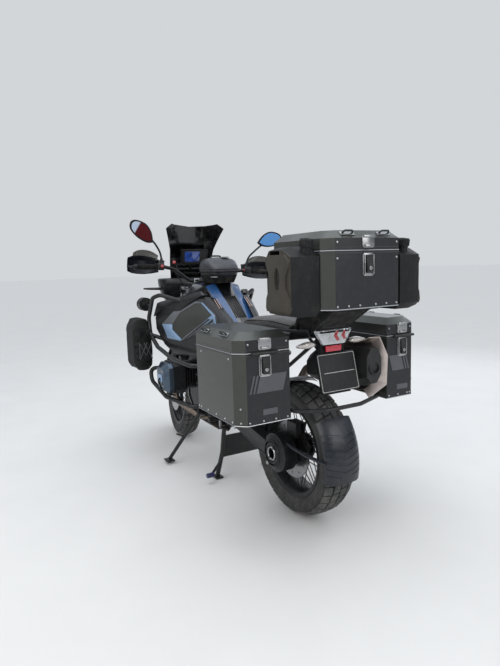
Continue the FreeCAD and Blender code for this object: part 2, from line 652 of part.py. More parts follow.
# Side stand
side_pivot = V(ahead(S.side_pivot_ahead), S.side_pivot_out, S.side_pivot_height)
side_foot = V(ahead(S.side_foot_ahead), S.side_foot_out, S.side_foot_height)
down = (side_foot - side_pivot).normalize()
SIDE_FOLDED = V(-0.988, 0.101, -0.114).normalize()
side_axis = down.cross(SIDE_FOLDED).normalize()
eye = rod(side_pivot - side_axis * 8, side_pivot + side_axis * 8, 19)
side_leg = rod(side_pivot + down * 10, side_foot - down * 6, S.side_leg_radius)
side_pad = box(side_foot.x - 36, side_foot.x + 30, side_foot.y - 24, side_foot.y + 26, side_foot.z - 8,
               side_foot.z)
side_tang = rod(side_pivot + down * 210, side_pivot + down * 210 + V(26, 40, 18), 5)
side_bolt = rod(side_pivot - side_axis * 30, side_pivot + side_axis * 30, 7 + S.running_gap)
side_stand = piece("side_stand", fused([eye, side_leg, side_pad, side_tang]).cut(side_bolt))
bracket_plate = [rod(side_pivot + side_axis * a, side_pivot + side_axis * b, 17)
                 for a, b in ((13, 20), (-34, -13))]
bracket_bolt = rod(side_pivot - side_axis * 20, side_pivot + side_axis * 20, 7)
side_bracket = fused(bracket_plate + [bracket_bolt])

main_frame = fused([head_tube, pivot_tube, strut_bar] + frame_tubes + stand_lugs)
main_frame = piece("main_frame", Part.makeCompound([main_frame, side_bracket]),
                   [pin_room, stem_room, engine_block])

rear_tubes = []
for name, side in SIDES:
    rear_tubes.append(tube([V(ahead(560), side * 128, 700), V(ahead(330), side * 128, 830),
                            V(ahead(-60), side * 110, 880), V(ahead(-226), side * 80, 904)], 12, 80))
    rear_tubes.append(tube([V(ahead(480), side * 128, 560), V(ahead(330), side * 128, 640),
                            V(ahead(-40), side * 110, 868)], 10, 60))
cross_bars = [rod(V(ahead(x), -half, z), V(ahead(x), half, z), 9)
              for x, half, z in ((470, 128, 751), (330, 128, 830), (-60, 110, 880), (-225, 82, 905))]
rear_frame = piece("rear_frame", fused(rear_tubes + cross_bars), [main_frame])

# Tank, panels, seats

# The side panels lie in one plane on each side, swept in towards the seat and the top
PANEL_SWEEP = (179.8, 0.36, -0.2882)


def panel_y(x, z, sunk=0.0):
    """Outer face of the side panel at a distance ahead of the rear axle and a height."""
    base, per_ahead, per_up = PANEL_SWEEP
    drawn_out = (ahead(HEAD_AHEAD) - ahead(PIVOT_AHEAD)) / (HEAD_AHEAD - PIVOT_AHEAD)
    along = PIVOT_AHEAD + (ahead(x) - ahead(PIVOT_AHEAD)) / drawn_out
    return base + per_ahead * along + per_up * z - sunk


# distance ahead, height and half width of the top, of the shoulder and of the underside
TANK = [(528, 885, 74, 850, 90, 800, 104), (640, 985, 88, 925, 106, 800, 142),
        (796, 1112, 108, 1040, 130, 812, 195), (960, 1128, 112, 1050, 182, 905, 224),
        (1030, 1092, 60, 1010, 186, 960, 172)]


def tank_section(x, top, top_half, shoulder, shoulder_half, under, under_half):
    half = [(top_half * 0.45, top), (top_half, top - 18), (shoulder_half, shoulder), (under_half, under)]
    return [V(ahead(x), y, z) for y, z in half] + [V(ahead(x), -y, z) for y, z in reversed(half)]


fuel_tank = piece("fuel_tank", loft([tank_section(*row) for row in TANK]), [main_frame])

# Outlines of the left panel as (distance ahead of the rear axle, height)
PANEL_RIM = [(470, 850), (560, 770), (700, 704), (870, 692), (990, 748), (1092, 836), (1124, 906),
             (1100, 968), (1010, 990), (880, 1000), (780, 1040), (705, 1030), (540, 915)]
PANEL_FACE = [(520, 856), (580, 790), (708, 722), (862, 710), (978, 766), (1078, 846), (1106, 904),
              (1086, 956), (1004, 974), (876, 984), (776, 1024), (712, 1012), (570, 910)]
BLADE = [(1118, 912), (1112, 993), (1087, 1003), (770, 1068), (748, 1046), (790, 1026), (903, 962),
         (1026, 968)]
INSET = [(1036, 867), (959, 951), (900, 955), (795, 1015), (737, 1010), (622, 938), (590, 880), (640, 862),
         (840, 773), (956, 784)]


def panel_outline(points, sunk):
    return [V(ahead(x), panel_y(x, z, sunk), z) for x, z in points]


def side_panel():
    """The black shell, the blade along its top and the raised field in its middle."""
    depth = S.panel_depth
    shell = slab(panel_outline(PANEL_RIM, depth), V(0, depth - 12, 0))
    face = loft([panel_outline(PANEL_RIM, 12), panel_outline(PANEL_FACE, 0)])
    blade = slab(panel_outline(BLADE, 30), V(0, 37, 0))
    field = slab(panel_outline(INSET, 3), V(0, 8, 0))
    return shell.multiFuse([face, blade, field])


tank_panels = piece("tank_panels", both_sides(side_panel()), [fuel_tank, main_frame])

# seats as lofts of half widths: distance ahead, top, half width, underside
RIDER_SEAT = [(606, 908, 62, 872), (520, 896, 100, 852), (440, 886, 148, 846), (352, 894, 166, 848)]
PASSENGER_SEAT = [(348, 900, 146, 834), (270, 950, 150, 846), (60, 958, 132, 868), (-84, 944, 118, 886)]


def seat_section(x, top, half, under):
    points = [(half * 0.5, top), (half * 0.9, top - 10), (half, top - 26), (half * 0.9, under)]
    return [V(ahead(x), y, z) for y, z in points] + [V(ahead(x), -y, z) for y, z in reversed(points)]


rider_seat = piece("rider_seat", loft([seat_section(*row) for row in RIDER_SEAT]),
                   [fuel_tank, tank_panels, rear_frame, main_frame])
passenger_seat = piece("passenger_seat", loft([seat_section(*row) for row in PASSENGER_SEAT]),
                       [rear_frame, rider_seat])

BAG = [(716, 1140, 1196, 86), (780, 1128, 1262, 106), (880, 1130, 1270, 106), (938, 1136, 1230, 90)]


def bag_section(x, low, high, half):
    points = [(half * 0.7, high), (half, high - 30), (half, low + 20), (half * 0.86, low)]
    return [V(ahead(x), y, z) for y, z in points] + [V(ahead(x), -y, z) for y, z in reversed(points)]


bag_foot = box(ahead(790), ahead(900), -58, 58, 1086, 1140)
tank_bag = piece("tank_bag", loft([bag_section(*row) for row in BAG]).fuse(bag_foot), [fuel_tank])

# Nose: carrier, head lamp, beak, screen, instrument

front_carrier = fused([box(ahead(1166), ahead(1330), -26, 26, 985, 1015)]
                      + [tube([V(ahead(1246), s * 18, 1000), V(ahead(1288), s * 78, 1052),
                               V(ahead(1270), s * 96, 1240)], 8, 40) for s in (1, -1)]
                      + [rod(V(ahead(1274), -93, 1200), V(ahead(1274), 93, 1200), 8)])
display = slab([V(ahead(1196), -92, 1228), V(ahead(1196), 92, 1228), V(ahead(1172), 92, 1322),
                V(ahead(1172), -92, 1322)], V(22, 0, 6))
display_stay = rod(V(ahead(1204), 0, 1250), V(ahead(1274), 0, 1200), 9)
front_carrier = piece("front_carrier", fused([front_carrier, display, display_stay]), [main_frame])
LAMP = [(-150, 40), (-96, 62), (0, 70), (96, 62), (150, 40), (128, -30), (60, -62), (-60, -62), (-128, -30)]
lamp_middle = V(ahead(1352), 0, 1010)
head_lamp = loft([[lamp_middle + V(-40, y * 0.8, z * 0.8) for y, z in LAMP],
                  [lamp_middle + V(26, y, z) for y, z in LAMP],
                  [lamp_middle + V(64, y * 0.72, z * 0.7 - 6) for y, z in LAMP]])
head_lamp = piece("head_lamp", head_lamp, [front_carrier])
BEAK = [(1316, 140, 946, 912), (1420, 122, 936, 906), (1560, 84, 906, 884), (1700, 40, 862, 850)]
beak = loft([[V(ahead(x), half, low), V(ahead(x), half * 0.5, high), V(ahead(x), -half * 0.5, high),
              V(ahead(x), -half, low), V(ahead(x), -half * 0.5, low - 6), V(ahead(x), half * 0.5, low - 6)]
             for x, half, high, low in BEAK])
beak_stay = box(ahead(1230), ahead(1330), -20, 20, 900, 985)
front_beak = piece("front_beak", beak.fuse(beak_stay), [head_lamp, front_carrier])

SCREEN_LOW = (1352, 1062)
SCREEN_HIGH = (1183, 1505)
slope = V(SCREEN_HIGH[0] - SCREEN_LOW[0], 0, SCREEN_HIGH[1] - SCREEN_LOW[1])
along = V(slope).normalize()
out_of = V(along.z, 0, -along.x)
SCREEN_BOW = 46


def bowed_strip(share, half, back):
    """Points across the screen at a share of its height, bowed back towards its edges."""
    middle = V(ahead(SCREEN_LOW[0]), 0, SCREEN_LOW[1]) + slope * share
    steps = [-1.0, -0.6, -0.2, 0.2, 0.6, 1.0]
    return [middle + V(0, half * t, 0) - out_of * (SCREEN_BOW * (half * t / 200.0) ** 2 + back)
            for t in steps]


def screen_section(share, half):
    front = bowed_strip(share, half, 0)
    return front + list(reversed(bowed_strip(share, half, S.screen_thickness)))


screen_rows = [(0.0, 112), (0.42, 150), (0.62, 156), (0.93, 203), (0.985, 161)]
windscreen = piece("windscreen", loft([screen_section(*row) for row in screen_rows]),
                   [front_carrier, head_lamp])

# Crash bars, lamps and bags on them
r = S.guard_tube_radius
reach = S.guard_reach
upper_loop = tube([V(ahead(905), 190, 1000), V(ahead(990), 322, 1050), V(ahead(1050), 350, 1032),
                   V(ahead(1134), reach + 2, 900), V(ahead(1108), reach + 4, 800),
                   V(ahead(985), reach + 6, 738), V(ahead(760), reach + 6, 700), V(ahead(560), 326, 680),
                   V(ahead(512), 130, 668)], r, 50)
upper_link = tube([V(ahead(1106), reach + 4, 800), V(ahead(1040), 250, 756), V(ahead(985), 96, 720)], r, 40)
upper_bars = piece("upper_crash_bars", both_sides(fused([upper_loop, upper_link])),
                   [tank_panels, fuel_tank, engine_block, cylinders, main_frame])
lower_loop = tube([V(ahead(980), 130, 556), V(ahead(1090), 250, 580), V(ahead(1142), reach + 6, 584),
                   V(ahead(1116), reach + 10, 508), V(ahead(930), 338, 436), V(ahead(740), 250, 402),
                   V(ahead(700), 150, 400)], r, 55)
lower_bars = piece("lower_crash_bars", both_sides(lower_loop), [engine_block, cylinders])
fog = rod(V(ahead(1180), reach - 2, 985), V(ahead(1244), reach - 2, 985), 40)
fog_stay = rod(V(ahead(1082), reach, 982), V(ahead(1184), reach - 2, 984), 7)
fog_lamps = piece("fog_lamps", both_sides(fog.fuse(fog_stay)), [upper_bars])


def soft_bag(side):
    levels = [(566, 96, 40), (600, 128, 56), (850, 128, 56), (905, 100, 36)]
    middle = V(ahead(1222), side * (reach + 46), 0)
    return loft([[middle + V(x * deep * 0.92, side * y * half, z)
                  for x, y in ((-1, -0.6), (-0.8, -1), (0.8, -1), (1, -0.6), (1, 0.6), (0.8, 1), (-0.8, 1),
                               (-1, 0.6))] for z, deep, half in levels])


left_bag = piece("left_bar_bag", soft_bag(1), [upper_bars, lower_bars, fog_lamps])
right_bag = piece("right_bar_bag", soft_bag(-1), [upper_bars, lower_bars, fog_lamps])

# Radiators behind the panels' front mouths
radiator = box(-12, 12, -78, 78, -95, 95)
radiator.rotate(V(), V(0, 0, 1), 18)
radiator.translate(V(ahead(1116), 205, 850))
radiators = piece("radiators", both_sides(radiator), [tank_panels, fuel_tank, main_frame, upper_bars])

# Skid plate
skid_back = S.engine_ahead + 70
skid_bend = S.engine_ahead + S.engine_length - 40
skid_low = S.engine_bottom - S.skid_drop
skid = side_plate([(skid_back, skid_low), (skid_bend, skid_low), (skid_bend + 100, skid_low + 110),
                   (skid_bend + 110, skid_low + 226), (skid_bend + 105, skid_low + 226),
                   (skid_bend + 95, skid_low + 113), (skid_bend - 3, skid_low + 5),
                   (skid_back, skid_low + 5)], -140, 140)
skid_feet = [rod(V(ahead(x), y, skid_low + 3), V(ahead(x), y, S.engine_bottom), 9)
             for x, y in ((650, -118), (650, 118), (935, -70), (935, 70))]
skid_plate = piece("skid_plate", fused([skid] + skid_feet), [engine_block])

# Telelever: wishbone from the crankcase to the ball joint under the fork brace, with its strut
ball = steer_point(0, 0, brace_level - 22)
arms = [tube([V(ahead(930), s * 118, 630), V(ahead(1110), s * 96, 606), ball + V(-16, s * 5, -16)], 14, 60)
        for s in (1, -1)]
ball_stud = rod(ball + STEER_UP * 5, steer_point(0, 0, brace_level + 20), S.ball_stud_radius)
strut_eye = rod(V(strut_low.x, -78, strut_low.z), V(strut_low.x, 78, strut_low.z), 10)
strut_top = rod(strut_high - V(0, 14, 0), strut_high + V(0, 14, 0), 17)
strut = rod(strut_low, strut_high, 10).fuse(strut_top).fuse(rod(strut_low + (strut_high - strut_low) * 0.16,
                                                                strut_low + (strut_high - strut_low) * 0.88,
                                                                28))
fork_arm = fused(arms + [rod(ball + STEER_UP * -20, ball + STEER_UP * 13, 21), ball_stud, strut_eye, strut])
front_arm = piece("front_wishbone", fork_arm, [engine_block, main_frame, upper_bars, lower_bars, cylinders])

# Swingarm with shaft drive on the left, final drive and its output stub
arm_y = (S.drive_inner + S.drive_outer) / 2 + 6
arm_section = [(-26, -34), (26, -34), (30, 0), (26, 34), (-26, 34), (-30, 0)]


def arm_at(x, y, z, scale=1.0):
    return [V(ahead(x), y + a * scale, z + b * scale) for a, b in arm_section]


pivot_z = S.pivot_height
swing_tube = loft([arm_at(S.pivot_ahead - 28, 84, pivot_z, 1.1), arm_at(380, 122, pivot_z - 18),
                   arm_at(70, arm_y, REAR_Z + 8)])
pivot_ear = box(ahead(S.pivot_ahead - 60), ahead(S.pivot_ahead), -96, 104, pivot_z - 34, pivot_z + 34)
housing = rod(V(ahead(0), S.drive_inner, REAR_Z), V(ahead(0), S.drive_outer - 12, REAR_Z), S.drive_radius)
housing_cover = Part.makeCone(S.drive_radius - 6, S.drive_radius - 26, 12,
                              V(ahead(0), S.drive_outer - 12, REAR_Z), V(0, 1, 0))
stub = rod(V(ahead(0), -50, REAR_Z), V(ahead(0), S.drive_outer, REAR_Z), S.rear_axle_radius)
bore_tool = rod(V(ahead(0), -80, REAR_Z), V(ahead(0), S.drive_outer + 20, REAR_Z), S.rear_axle_bore)
torque_arm = tube([V(ahead(450), 112, pivot_z - 66), V(ahead(50), arm_y, REAR_Z - 62)], 10)
torque_lug = box(ahead(436), ahead(466), 92, 112, pivot_z - 80, pivot_z - 30)
rear_caliper = box(ahead(-92), ahead(-18), 40, S.drive_inner + 4, REAR_Z + 86,
                   REAR_Z + 152).cut(box(ahead(-110), ahead(0), REAR_HUB_LEFT - S.disc_thickness - 7,
                                         REAR_HUB_LEFT + 5, REAR_Z + 40, REAR_Z + 146))
swingarm = piece("swingarm", fused([swing_tube, pivot_ear, housing, housing_cover, stub, torque_arm,
                                    torque_lug, rear_caliper]), [bore_tool, main_frame])
shock_low = V(ahead(430), 30, 425)
shock_high = V(ahead(470), 0, 751)
shock = fused([rod(shock_low, shock_high, 12), rod(shock_low + (shock_high - shock_low) * 0.15,
                                                   shock_low + (shock_high - shock_low) * 0.75, 34)])
rear_shock = piece("rear_shock", shock, [swingarm, main_frame, rear_frame])

# Mudguards of the rear wheel, both carried by the swingarm
hugger_radius = S.rear_tyre_radius + 16
hugger = arc_shell(REAR_AXLE, hugger_radius, 3, 96, 16, 92, 24)
hugger_leg = box(ahead(250), ahead(292), 92, 114, REAR_Z + 40, REAR_Z + 172)
flap = arc_shell(REAR_AXLE, S.rear_tyre_radius + S.flap_gap, 4, 94, 142, 192, 30)
flap_arm = tube([V(ahead(-20), S.drive_outer - 34, REAR_Z + 60), V(ahead(-200), 118, REAR_Z + 40),
                 V(ahead(-316), 92, REAR_Z + 30)], 8, 60)
rear_mudguards = piece("rear_mudguards", Part.makeCompound([hugger.fuse(hugger_leg), flap.fuse(flap_arm)]),
                       [swingarm])

# Tail: lamp, signals, plate holder and blank plate
tail_x = -262
tail_lamp = loft([[V(ahead(tail_x), s * half, z) for s, half, z in ((1, 92, 926), (-1, 92, 926),
                                                                    (-1, 58, 862), (1, 58, 862))],
                  [V(ahead(tail_x + 24), s * half, z) for s, half, z in ((1, 88, 926), (-1, 88, 926),
                                                                         (-1, 56, 862), (1, 56, 862))]])
holder = side_plate([(tail_x + 24, 930), (tail_x + 64, 930), (tail_x + 40, 800), (tail_x + 2, 652),
                     (tail_x - 24, 652), (tail_x + 18, 800)], -70, 60)
plate = side_plate([(tail_x + 20, 824), (tail_x + 12, 824), (tail_x - 29, 660), (tail_x - 21, 660)],
                   S.plate_shift - S.plate_size / 2, S.plate_shift + S.plate_size / 2)
reflector = box(ahead(tail_x + 7), ahead(tail_x + 21), -44, 42, 832, 857)
plate_holder = piece("plate_holder", holder.fuse(plate), [rear_frame])
signal = loft([[V(ahead(tail_x + 20 + x * 16), 96, 868 + z * 14)
                for x, z in ((-1, 0), (0, 1), (1, 0), (0, -1))],
               [V(ahead(tail_x + 20 + x * 26), 140, 868 + z * 20)
                for x, z in ((-1, 0), (0, 1), (1, 0), (0, -1))],
               [V(ahead(tail_x + 20 + x * 12), 196, 868 + z * 10)
                for x, z in ((-1, 0), (0, 1), (1, 0), (0, -1))]])
signal_stalk = rod(V(ahead(tail_x + 30), 68, 868), V(ahead(tail_x + 24), 98, 868), 7)
rear_lamps = piece("rear_lamps", Part.makeCompound([tail_lamp, reflector, signal.fuse(signal_stalk),
                                                    mirrored(signal.fuse(signal_stalk))]), [plate_holder])

# Exhaust on the right
headers = [tube([V(cylinder_x + 30, s * 270, S.cylinder_height - 90), V(cylinder_x + 40, s * 262, 400),
                 V(ahead(S.cylinder_ahead - 60), s * 158, 306), V(ahead(740), s * 90, 304),
                 V(ahead(690), s * 30, 304)], 19, 60) for s in (1, -1)]
collector = box(ahead(600), ahead(700), -90, 60, 286, 326)
link = tube([V(ahead(650), -80, 306), V(ahead(640), -176, 308), V(ahead(500), -194, 322),
             V(ahead(330), -198, 520), V(ahead(220), -196, 650), V(ahead(140), -S.silencer_out, 690)], 24,
            60)

# Silencer: a tall flattened can with a bright guard on its outer side
SILENCER = [(150, 684, 44, 58), (90, 700, 50, 80), (-250, 744, 50, 92), (-300, 750, 42, 78)]


def silencer_section(x, z, half, tall):
    y = -S.silencer_out
    return [V(ahead(x), y + a * half, z + b * tall) for a, b in ((-1, -0.5), (-1, 0.45), (-0.5, 1),
                                                                 (0.5, 1), (1, 0.5), (1, -0.6), (0.4, -1),
                                                                 (-0.4, -1))]


silencer_hanger = rod(V(ahead(60), -172, 760), V(ahead(100), -120, 852), 8)
silencer = piece("silencer", fused([loft([silencer_section(*row) for row in SILENCER]), silencer_hanger]),
                 [rear_frame])

# Rider's footrests on hangers outside the main frame
REST_AHEAD = 520
rests = []
for side in (1, -1):
    rests.append(side_plate([(490, 556), (530, 548), (546, 380), (526, 356), (504, 356), (494, 400)],
                            side * 150, side * 157))
    rests += [rod(V(ahead(506), side * 104, z), V(ahead(510), side * 153, z), 8) for z in (530, 430)]
    rests.append(rod(V(ahead(REST_AHEAD), side * 150, 372), V(ahead(REST_AHEAD - 4), side * 252, 376), 10))
    rests.append(box(ahead(REST_AHEAD - 20), ahead(REST_AHEAD + 16), side * 186, side * 250, 372, 386))
footrests = piece("footrests", fused(rests[:5]).fuse(fused(rests[5:])),
                  [main_frame, engine_block, rear_frame])

# Pannier racks
rack_low = S.pannier_bottom + 44
rack_high = S.pannier_bottom + S.pannier_body - 44
rack_rear = S.pannier_rear + 50
rack_front = S.pannier_rear + S.pannier_length - 50


def rack_side(side, y):
    corners = [V(ahead(rack_front), side * y, rack_high), V(ahead(rack_rear), side * y, rack_high),
               V(ahead(rack_rear), side * y, rack_low), V(ahead(rack_front), side * y, rack_low)]
    hoop = tube([corners[0], corners[1], corners[2], corners[3], corners[0] + V(0, 0, -6)],
                S.rack_tube_radius, 36)
    return hoop


# Cases


def case_outline(x0, x1, y0, y1, z, bevels):
    """Plan of a case, its vertical corners cut where bevels says, in the order -x-y, +x-y, +x+y, -x+y."""
    b = bevels
    points = []
    for (cx, cy, ax, ay), cut in zip(((x0, y0, 1, 1), (x1, y0, -1, 1), (x1, y1, -1, -1), (x0, y1, 1, -1)),
                                     b):
        if cut:
            pair = [V(cx, cy + ay * cut, z), V(cx + ax * cut, cy, z)]
            if (cx, cy) in ((x1, y0), (x0, y1)):
                pair.reverse()
            points += pair
        else:
            points.append(V(cx, cy, z))
    return points


def inset(box_sides, amount):
    x0, x1, y0, y1 = box_sides
    return x0 + amount, x1 - amount, y0 + amount, y1 - amount


def case_body(label, sides, bottom, height, bevels, tools=()):
    """Open box: padded from its plan and pocketed to its wall, both tied to the sheet."""
    body = doc.addObject("PartDesign::Body", label)
    outer = case_outline(*sides, 0, bevels)
    plan = closed_outline(sketch(body, label + "_plan", "XY_Plane"), [(p.x, p.y) for p in outer])
    pad = body.newObject("PartDesign::Pad", label + "_pad")
    pad.Profile = plan
    bind(pad, Length=f"Sizes.{height}")
    doc.recompute()
    hollow_plan = case_outline(*inset(sides, S.wall), 0, [b and b - S.wall * 0.586 for b in bevels])
    hollow = closed_outline(sketch(body, label + "_hollow", "XY_Plane", S.wall),
                            [(p.x, p.y) for p in hollow_plan])
    cut = body.newObject("PartDesign::Pocket", label + "_pocket")
    cut.Profile = hollow
    cut.Type = "ThroughAll"
    cut.Reversed = True
    body.Placement = FreeCAD.Placement(V(0, 0, bottom), FreeCAD.Rotation())
    doc.recompute()
    return body


def lid_shape(sides, bottom, height, bevels):
    """Hollow lid: a straight band, then edges sloped in to the flat top."""
    band = bottom + height - S.lid_bevel
    low = case_outline(*sides, bottom, bevels)
    mid = case_outline(*sides, band, bevels)
    top = case_outline(*inset(sides, S.lid_bevel), bottom + height, bevels)
    shell = loft([low, mid]).fuse(loft([mid, top]))
    w = S.wall
    in_bevels = [b and b - w * 0.586 for b in bevels]
    low_in = case_outline(*inset(sides, w), bottom - 1, in_bevels)
    mid_in = case_outline(*inset(sides, w), band - w * 0.4, in_bevels)
    top_in = case_outline(*inset(sides, S.lid_bevel + w * 0.4), bottom + height - w, in_bevels)
    return shell.cut(loft([low_in, mid_in]).fuse(loft([mid_in, top_in]))).removeSplitter()


def hinge_ears(x, out, z, y_from, y_to, upper):
    """Knuckles of a lid hinge outside the case's end wall: the lid has the middle one and the pin."""
    third = (y_to - y_from) / 3
    pin_low = V(x + out, 0, z)
    spans = [(y_from + third, y_to - third)] if upper else [(y_from, y_from + third - 1),
                                                            (y_to - third + 1, y_to)]
    ears = []
    for a, b in spans:
        knuckle = rod(pin_low + V(0, a, 0), pin_low + V(0, b, 0), S.hinge_ear)
        web = box(x, x + out, a, b, z, z + (S.hinge_ear if upper else -S.hinge_ear))
        ears.append(knuckle.fuse(web))
    return ears


pin_bore = S.hinge_pin_radius + S.running_gap


def hinged_pair(name, sides, bottom, body_alias, lid_height, bevels, end):
    """A case and its lid with a three-knuckle hinge across its front (end 1) or back (end 0)."""
    x1 = sides[end]
    out = S.hinge_out if end else -S.hinge_out
    seam = bottom + getattr(S, body_alias) + S.seam_gap / 2
    middle = (sides[2] + sides[3]) / 2
    y_from, y_to = middle - 60, middle + 60
    case = case_body(name + "_shell", sides, bottom, body_alias, bevels)
    pin_line = [V(x1 + out, y, seam) for y in (y_from, y_to)]
    ear_room = rod(pin_line[0] + V(0, 39, 0), pin_line[1] - V(0, 39, 0), S.hinge_ear + 1)
    bore = rod(pin_line[0] - V(0, 1, 0), pin_line[1] + V(0, 1, 0), pin_bore)
    body_ears = [ear.cut(bore) for ear in hinge_ears(x1, out, seam, y_from, y_to, False)]
    body_shape = case.Shape.fuse(body_ears[0]).fuse(body_ears[1]).cut(ear_room)
    body_node = piece(name, body_shape)
    lid = lid_shape(sides, bottom + getattr(S, body_alias) + S.seam_gap, lid_height, bevels)
    ear = hinge_ears(x1, out, seam, y_from, y_to, True)[0]
    pin = rod(*pin_line, S.hinge_pin_radius)
    side_room = [rod(V(x1 + out, a, seam), V(x1 + out, b, seam), S.hinge_ear + 1)
                 for a, b in ((y_from - 1, y_from + 40), (y_to - 40, y_to + 1))]
    for room in side_room:
        lid = lid.cut(room)
    lid_node = piece(name + "_lid", fused([lid, ear, pin]))
    return body_node, lid_node


pannier_x = (ahead(S.pannier_rear), ahead(S.pannier_rear + S.pannier_length))
bevel = S.case_bevel
left_case, left_lid = hinged_pair("left_pannier", (*pannier_x, S.pannier_inner, S.pannier_outer),
                                  S.pannier_bottom, "pannier_body", S.pannier_lid, (0, 0, bevel, bevel), 0)
right_inner = S.pannier_inner + S.silencer_recess
right_case, right_lid = hinged_pair("right_pannier", (*pannier_x, -S.pannier_outer, -right_inner),
                                    S.pannier_bottom, "pannier_body", S.pannier_lid, (bevel, bevel, 0, 0),
                                    0)
top_x = (ahead(S.top_case_rear), ahead(S.top_case_rear + S.top_case_length))
top_case, top_lid = hinged_pair("top_case", (*top_x, -S.top_case_half, S.top_case_half), S.top_case_bottom,
                                "top_case_body", S.top_case_lid, (bevel, bevel, bevel, bevel), 1)

# Racks seated against the cases
left_tube_y = S.pannier_inner - S.rack_tube_radius - 1
right_tube_y = right_inner - S.rack_tube_radius - 1
left_hoop = rack_side(1, left_tube_y)
right_hoop = rack_side(-1, right_tube_y)
rack_links = []
for side, y in ((1, left_tube_y), (-1, right_tube_y)):
    rack_links.append(tube([V(ahead(rack_rear + 30), side * y, rack_high), V(ahead(-40), side * 150, 872),
                            V(ahead(-30), side * 112, 880)], S.rack_tube_radius, 30))
    rack_links.append(tube([V(ahead(rack_front - 30), side * y, rack_high), V(ahead(150), side * 170, 850),
                            V(ahead(160), side * 126, 846)], S.rack_tube_radius, 30))
tie_z = rack_low - 24
tie = tube([V(ahead(rack_rear + 40), left_tube_y, rack_low),
            V(ahead(rack_rear - 30), left_tube_y - 16, tie_z), V(ahead(-326), 90, tie_z),
            V(ahead(-326), -90, tie_z), V(ahead(rack_rear - 30), -right_tube_y + 16, tie_z),
            V(ahead(rack_rear + 40), -right_tube_y, rack_low)], S.rack_tube_radius, 60)
pannier_racks = piece("pannier_racks", fused([left_hoop, right_hoop, tie] + rack_links),
                      [rear_frame, plate_holder])

# Bright channel in the right case's inner side, open towards the silencer and flared at its back
CHANNEL = [(-178, 634), (-252, 668), (-258, 772), (-226, 846), (-178, 858)]
FRONT_CHANNEL = [(-178, 600), (-256, 636), (-260, 750), (-228, 826), (-178, 840)]
FLARE = [(-178, 604), (-282, 650), (-289, 784), (-240, 872), (-178, 874)]


def channel_section(x, path, thick):
    """The channel's path and the same path stepped away from the silencer."""
    steps = ((0, -thick), (-thick, -thick * 0.4), (-thick, 0), (-thick, thick), (0, thick))
    back = [(y + dy, z + dz) for (y, z), (dy, dz) in zip(path, steps)]
    return [V(ahead(x), y, z) for y, z in path] + [V(ahead(x), y, z) for y, z in reversed(back)]


channel = loft([channel_section(40, FRONT_CHANNEL, 3), channel_section(-246, CHANNEL, 3),
                channel_section(-282, FLARE, 3)])
case_channel = piece("case_channel", channel, [right_case, pannier_racks, silencer, rear_frame, rear_lamps])

# Luggage bridge under the top case
bridge_plate = box(ahead(S.top_case_rear + 60), ahead(S.top_case_rear + S.top_case_length - 30), -110, 110,
                   S.top_case_bottom - 12, S.top_case_bottom)
slots = [box(ahead(x), ahead(x + 70), y, y + 50, S.top_case_bottom - 13, S.top_case_bottom + 1)
         for x in (-370, -280, -190) for y in (-80, 30)]
for slot in slots:
    bridge_plate = bridge_plate.cut(slot)
rear_posts = [tube([V(ahead(-380), s * 92, S.top_case_bottom - 8), V(ahead(-290), s * 90, 968),
                    V(ahead(-190), s * 87, 899)], 9, 60) for s in (1, -1)]
front_posts = [tube([V(ahead(-150), s * 92, S.top_case_bottom - 8), V(ahead(-130), s * 96, 960),
                     V(ahead(-110), s * 98, 888)], 9, 40) for s in (1, -1)]
luggage_bridge = piece("luggage_bridge", fused([bridge_plate] + rear_posts + front_posts),
                       [rear_frame, passenger_seat, rear_lamps])

# Fuel cans on the sides of the top case, with screw caps
CAN_RELIEF = [(-78, -112), (78, -112), (84, -98), (80, -62), (56, -18), (56, 26), (78, 66), (82, 84),
              (60, 104), (-50, 104), (-82, 78), (-78, 62), (-56, 24), (-56, -18), (-80, -62), (-84, -98)]


def fuel_can(side):
    y0 = S.top_case_half + S.can_holder
    rows = [(y0, 0), (y0 + S.can_depth * 0.62, 0), (y0 + S.can_depth, 12)]
    x0, x1 = ahead(S.can_rear), ahead(S.can_rear + S.can_width)
    z0, z1 = S.can_bottom, S.can_bottom + S.can_height

    def face(y, margin):
        cut = 26
        points = [(x0 + margin, z0 + cut), (x0 + cut, z0 + margin), (x1 - cut, z0 + margin),
                  (x1 - margin, z0 + cut), (x1 - margin, z1 - 34), (x1 - 30, z1 - margin),
                  (x0 + 66, z1 - margin), (x0 + margin, z1 - 40)]
        return [V(x, side * y, z) for x, z in points]

    shell = loft([face(*rows[0]), face(*rows[1])]).fuse(loft([face(*rows[1]), face(*rows[2])]))
    grip = box(x1 - 104, x1 - 36, side * (y0 - 5), side * (y0 + S.can_depth + 5), z1 - 44, z1 - 14)
    neck = rod(V(x0 + 34, side * (y0 + 42), z1 - 40), V(x0 + 22, side * (y0 + 42), z1 + 14), 21)
    holder_plate = box(x0 + 40, x1 - 40, side * S.top_case_half, side * y0, z0 + 40, z1 - 50)
    relief = slab([V((x0 + x1) / 2 + x, side * (y0 + S.can_depth - 4), (z0 + z1) / 2 + z)
                   for x, z in CAN_RELIEF], V(0, side * 12, 0))
    hole = Part.Face(Part.Wire(Part.Ellipse(V(), 42, 18).toShape()))
    hole.rotate(V(), V(0, 1, 0), 90)
    hole.rotate(V(), V(0, 0, 1), 90)
    hole.translate(V((x0 + x1) / 2, side * (y0 + S.can_depth - 10), (z0 + z1) / 2 + 12))
    return shell.fuse(relief).cut(grip).cut(hole.extrude(V(0, side * 30, 0))).fuse(neck).fuse(holder_plate)


left_can = piece("left_fuel_can", fuel_can(1))
right_can = piece("right_fuel_can", fuel_can(-1))

